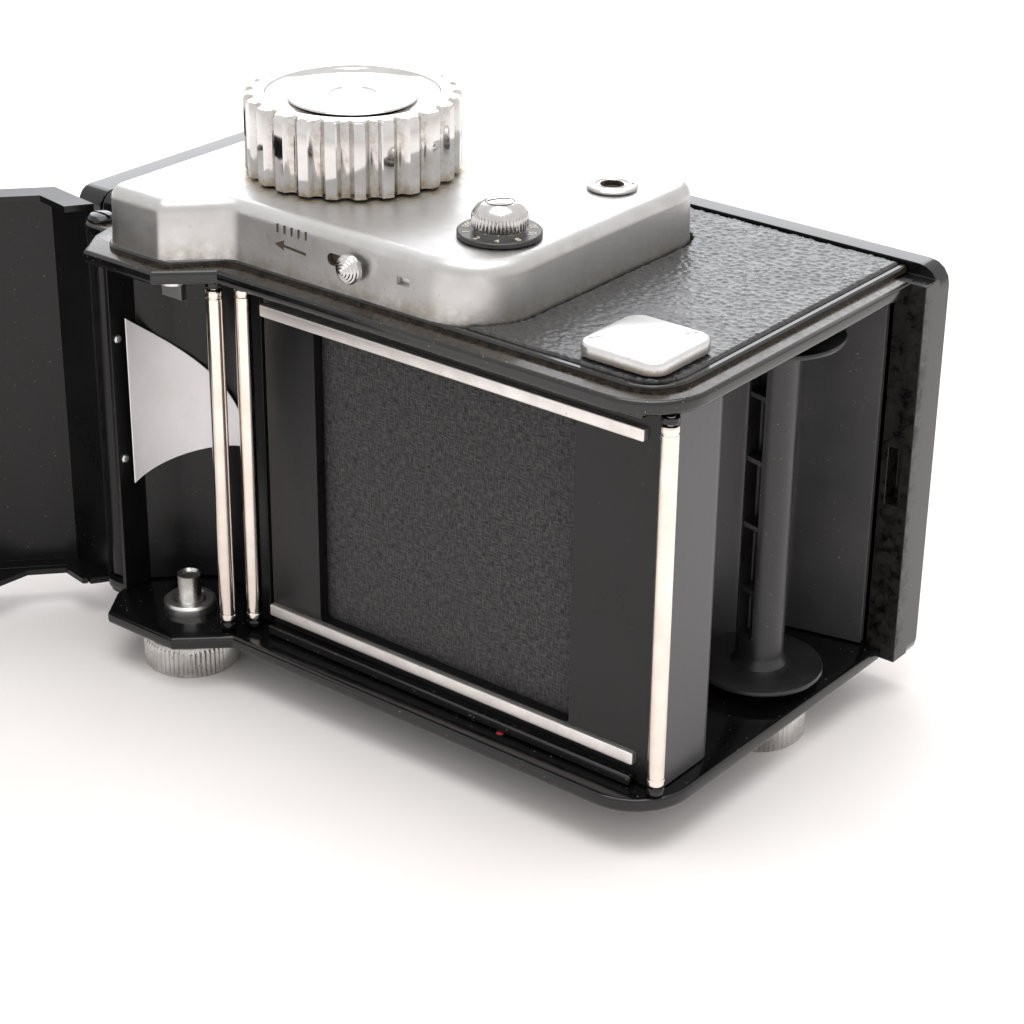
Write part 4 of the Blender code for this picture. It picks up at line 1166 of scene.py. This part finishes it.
# both leaf springs are painted flat white: a painted reflection of the bright surroundings
build("takeupLeafSpring", takeupSpring(), springPaintedReflection, "camera_body", ("takeup_leaf_spring",), edge=0.08, crease=40)
softened("supply_leaf_spring", "supplyLeafSpring", springPaintedReflection, 0.08, crease=40)
rivetHead = [(0, -72.2), (0.85, -72.2), (0.85, -71.75), (0.6, -71.45), (0, -71.3)]
rivets = [turned(rivetHead, (-3.4, z), "X", steps=24) for z in chamber["rivets"]]
build("takeupSpringRivets", joined(*rivets), plainSatin, "camera_body")
gateScrew = [(0, 3.1), (1.35, 3.1), (1.35, 2.7), (1.0, 2.4), (0, 2.3)]
screws = [turned(gateScrew, (43.3, z), "Y", steps=28) for z in chamber["screws"]]
build(
    "gateScrews", joined(*screws), plainSatin, "camera_body",
    cuts=[block((41.8, 2.0, z - 0.17), (44.8, 2.62, z + 0.17), 0.02) for z in chamber["screws"]],
)

# Supply spool: moulded flanges with rolled rims, and a slotted core with ladder ribs inside.
spool = {"half": 32.2, "core": 4.3, "flange": 11.5, "slot": 1.9, "turn": 256, "ribs": (-16.0, -3.5, 9.0, 21.0)}
end, rim, slot = -spool["half"], spool["flange"], spool["slot"]
spoolProfile = [(0, -28), (2.5, -28), (2.5, end), (10.9, end), (rim - 0.15, end + 0.15), (rim, end + 0.5)]
spoolProfile += [(rim - 0.15, end + 0.95), (10.9, end + 1.1), (6.2, end + 1.15), (5.0, end + 1.5)]
spoolProfile += [(4.5, end + 2.2), (spool["core"], end + 3.4)]
spoolProfile += [(r, -h) for r, h in reversed(spoolProfile)]
windowCut = block((1.0, -slot, -25.0), (7.0, slot, 27.0), 0.3)
ribs = [block((1.2, -slot - 0.1, z - 0.5), (3.8, slot + 0.1, z + 0.5), 0.15) for z in spool["ribs"]]
for mesh in (windowCut, *ribs):
    spun(mesh, spool["turn"])
    bmesh.ops.translate(mesh, verts=mesh.verts, vec=(*supply, 0))
build(
    "supplySpool", turned(spoolProfile, supply), mouldedPhenolic, "supply_spool", ("supply_spool",),
    cuts=[windowCut], crease=35,
)
build("supplySpoolRibs", joined(*ribs), mouldedPhenolic, "supply_spool")
print("film chambers built")

# Front shell, finder and hood. Brown dust has packed into the groove where the door's edge shuts.
shellLook = dict(glossLook)
shellLook["dirt"] = ({
    "axis": "y", "clean": 70.8, "dirty": 67.2, "blotMm": 2.5, "colour": "#1c1711", "share": 1.0, "rough": 0.8,
},)


def softenedAll(rows):
    # each row is a CAD node, its material and the radius of its edges
    for nodeName, material, edge in rows:
        first, *others = nodeName.split("_")
        softened(nodeName, first + "".join(word.capitalize() for word in others), material, edge)


softenedAll((
    ("front_shell", finish("shellBlackEnamel", shellLook), 0.5), ("top_deck", glossEnamel, 0.25),
    ("dark_chamber", mattPaint, 0.2), ("hood_base", glossEnamel, 0.35), ("hood_lid", glossEnamel, 0.45),
    ("hood_back_panel", mattPaint, 0.2), ("hood_right_panel", mattPaint, 0.2), ("hood_left_panel", mattPaint, 0.2),
    ("magnifier_frame", glossEnamel, 0.25), ("focusing_screen", groundGlass, 0.2),
    ("viewing_mirror", silveredMirror, 0.2),
))
lensLow, lensHigh = spot("magnifier_lens")
bulge = [(0, lensLow.x), (4.0, lensLow.x + 0.18), (7.0, lensLow.x + 0.62), (9.0, lensLow.x + 1.15)]
bulge += [(9.0, lensHigh.x - 0.5), (5.5, lensHigh.x - 0.15), (0, lensHigh.x)]
lensAt = middleOf("magnifier_lens")
magnifier = turned(bulge, (lensAt.y, lensAt.z), "X")
build("magnifierLens", magnifier, lensGlass, "magnifier", ("magnifier_lens",), crease=40)

# Hinged back.
softenedAll((
    ("back_door", mattPaint, 0.3), ("pressure_plate", mattPaint, 0.25),
    ("pressure_spring", springSteel, 0.08), ("back_latch", plainSatin, 0.4),
))
doorOpen = 132.0  # how far the back stands open, in degrees
hingeAt = Vector((*plate["hinge"], 0))
opened = Matrix.Rotation(-radians(doorOpen), 4, "Z")
swing = Matrix.Translation(hingeAt) @ opened @ Matrix.Translation(-hingeAt)
leatherSheet(
    "doorLeatherPanel", rectangle((-41.5, -36.5), (36.0, 36.5), 2.0, 5), -7.5, -8.2, ("door_leather",), 57.0,
    "back", swing, swap=True,
)
tripod = {"bore": 3.2, "threads": 8, "pitch": 0.6, "threadDepth": 0.25, "at": (30.0, 0.0)}
bush = [(tripod["bore"], 48.6), (4.8, 48.6), (4.8, 51.8), (8.6, 51.8), (9.0, 52.2), (9.0, 53.6)]
bush += [(8.6, 54.0), (3.7, 54.0)]
for k in range(tripod["threads"]):
    bush.append((tripod["bore"] + tripod["threadDepth"] * (k % 2), 53.5 - tripod["pitch"] * k))
build("tripodBush", turned(eased(bush, 0.1), tripod["at"], "X"), plainSatin, "back", ("tripod_socket",), turn=swing)
print("shell, hood and back built")

# Left side knobs: the two pull knobs carry the pins that hold the spools.
leftKnobs = (
    ("takeup", takeup, "takeup_pull_knob", 9.0, 60), ("supply", supply, "supply_pull_knob", 9.0, 60),
    ("focus", focus, "focus_knob", 17.0, 110),
)
for name, at, body, radius, teeth in leftKnobs:
    low, high = spot(body)
    face, back = low.z, -38.9
    profile = [(0, face), (radius - 2.0, face), (radius - 1.9, face + 0.3), (radius - 1.3, face + 0.3)]
    profile += [(radius - 1.2, face), (radius - 0.5, face), (radius, face + 0.5), (radius, back - 1.0)]
    profile += [(radius - 0.4, back - 0.6), (radius - 0.4, back)]
    if name == "focus":
        profile += [(0, back)]
    else:
        profile += [(2.75, back), (2.75, -33.0), (2.2, -32.0), (2.2, high.z + 0.5), (1.7, high.z), (0, high.z)]
    mesh = turned(profile, at, knurl=(radius - 0.1, teeth, 0.4))
    build(f"{name}Knob", mesh, knobFaces[name], body, (body,), crease=35)

# Lens board, shutter and lenses.
softened("lens_board", "lensBoard", glossEnamel, 0.4)
taking, viewing = ((at.x, at.z) for at in (boardSpot, middleOf("viewing_lens_barrel")))
case = [(14.0, 78.7), (23.0, 78.7), (23.5, 79.2), (23.5, 80.6), (23.2, 80.9), (23.5, 81.2), (23.5, 87.9)]
case += [(22.9, 88.8), (21.5, 89.6), (19.0, 90.0), (17.6, 90.0), (17.4, 89.7), (17.0, 89.7)]
case += [(16.8, 90.0), (14.0, 90.0)]
build("shutterCase", turned(eased(case, 0.2), taking, "Y", 96), shutterSatin, "lens_board", ("shutter_housing",))
grip = [(23.9, 81.2), (25.1, 81.2), (25.4, 81.5), (25.4, 84.7), (25.1, 85.0), (23.9, 85.0)]
ring = turned(grip, taking, "Y", knurl=(25.3, 90, 0.3))
build("speedRing", ring, shutterSatin, "speed_ring", ("speed_ring",), crease=35)
softenedAll((("cocking_lever", turnedChrome, 0.3), ("aperture_lever", turnedChrome, 0.3)))
low, high = spot("release_button")
press = ((low.x + high.x) / 2, (low.z + high.z) / 2)
button = [(0, low.y), (1.8, low.y), (1.8, 81.2), (3.0, 81.2), (3.0, 83.9), (2.6, 84.4), (1.2, 84.25), (0, 84.1)]
button = turned(eased(button, 0.15), press, "Y", 48)
build("releaseButton", button, turnedChrome, "release_button", ("release_button",))
# rear is the tube's outline up to its front part; seat is where the mouth's steps end at the glass
barrels = {
    "taking": {
        "at": taking, "rear": [(10.5, 66.0), (13.7, 66.0), (13.7, 90.3), (16.0, 90.3)],
        "front": 99.4, "rim": 16.0, "bore": 10.5, "seat": 94.6,
    },
    "viewing": {
        "at": viewing, "rear": [(11.0, 66.0), (14.7, 66.0), (14.7, 78.7), (16.6, 78.7)],
        "front": 95.4, "rim": 16.6, "bore": 11.0, "seat": 89.6,
    },
}
mouth = {"grooves": 3, "groovePitch": 1.5, "grooveDepth": 0.35, "steps": 6, "stepRise": 0.12, "domeSteps": 8}
for name, barrel in barrels.items():
    front, rim, bore, seat = (barrel[key] for key in ("front", "rim", "bore", "seat"))
    profile = list(barrel["rear"])
    for k in range(mouth["grooves"]):  # filter bayonet grooves
        y, floor = front - 5.2 + mouth["groovePitch"] * k, rim - mouth["grooveDepth"]
        profile += [(rim, y), (floor, y + 0.12), (floor, y + 0.5), (rim, y + 0.62)]
    profile += [(rim, front), (rim - 0.6, front + 0.6), (rim - 1.4, front + 0.6)]
    reach = rim - 1.9
    for k in range(mouth["steps"]):  # the glare-killing steps inside the mouth
        share = k / mouth["steps"]
        radius = reach + (bore - reach) * share
        profile += [(radius, front - (front - seat) * part) for part in (share, share + mouth["stepRise"])]
    profile += [(bore, seat)]
    tube = turned(eased(profile, 0.08), barrel["at"], "Y", 96)
    build(f"{name}LensBarrel", tube, glossEnamel, "lens_board", (f"{name}_lens_barrel",))
    low, high = spot(f"{name}_lens_glass")
    radius = (high.x - low.x) / 2
    dome = [(0, low.y), (radius, low.y)]
    for k in range(mouth["domeSteps"], -1, -1):
        share = k / mouth["domeSteps"]
        dome.append((radius * share, high.y - (high.y - low.y - 2) * share ** 2))
    glass = turned(dome, barrel["at"], "Y", 96)
    build(f"{name}LensGlass", glass, lensGlass, "lens_board", (f"{name}_lens_glass",), crease=40)
print("front built")

# Stage: a pale floor under soft studio light.
stage = {"size": 6.0, "floor": "#f6f3f2"}
floorMesh = bmesh.new()
bmesh.ops.create_grid(floorMesh, x_segments=24, y_segments=24, size=stage["size"])
floor = asObject("studioFloor", floorMesh, metres=True)
floor.location.z = cadLow.z - 0.00005  # just clear of the knobs it carries
floorPaper = finish("seamlessPaper", {
    "base": stage["floor"], "worn": "#f3efed", "patchMm": 60.0, "rough": (0.75, 0.9), "grain": ((0.6, 0.01),),
    "shader": {"Specular IOR Level": 0.2},
})
floor.data.materials.append(floorPaper)

light = {
    "world": 1.0, "worldColour": "#fffdfc",
    "boxes": (
        # name, place, size, power and colour: the one behind rakes the leather, the high one fills the floor
        ("behind", (-0.95, 1.15, 0.72), 1.3, 10.5, "#f8faff"),
        ("overhead", (0.1, 0.0, 1.5), 1.2, 13.0, "#ffffff"),
    ),
}
world = bpy.data.worlds.new("studioWorld")
world.use_nodes = True
bpy.context.scene.world = world
sky = world.node_tree.nodes["Background"]
sky.inputs["Color"].default_value = linear(light["worldColour"])
sky.inputs["Strength"].default_value = light["world"]
for name, place, size, power, colour in light["boxes"]:
    data = bpy.data.lights.new(name, "AREA")
    data.shape, data.size, data.energy, data.color = "SQUARE", size, power, linear(colour)[:3]
    lamp = bpy.data.objects.new(name, data)
    bpy.context.scene.collection.objects.link(lamp)
    lamp.location = place
    lamp.rotation_euler = (-Vector(place) + Vector((0, 0, 0.05))).to_track_quat("-Z", "Y").to_euler()

# Camera: above and behind, looking down into the open back.
view = {"place": (243.58, -289.45, 189.89), "azimuth": 38.13, "elevation": 26.28, "roll": 0.68, "lens": 88.29}
azimuth, elevation, roll = (radians(view[key]) for key in ("azimuth", "elevation", "roll"))
toCamera = Vector((sin(azimuth) * cos(elevation), -cos(azimuth) * cos(elevation), sin(elevation)))
across = (-toCamera).cross(Vector((0, 0, 1))).normalized()
upward = across.cross(-toCamera)
right = across * cos(roll) + upward * sin(roll)
above = upward * cos(roll) - across * sin(roll)
cameraData = bpy.data.cameras.new("studioCamera")
cameraData.lens, cameraData.sensor_width = view["lens"], 36.0
cameraData.clip_start, cameraData.clip_end = 0.01, 50.0
camera = bpy.data.objects.new("studioCamera", cameraData)
bpy.context.scene.collection.objects.link(camera)
turnIn = Matrix((right, above, toCamera)).transposed().to_4x4()
camera.matrix_world = Matrix.Translation(gate + Vector(view["place"]) * mm) @ turnIn
bpy.context.scene.camera = camera
bpy.context.scene.view_settings.view_transform = "Standard"
print("stage, light and camera set")
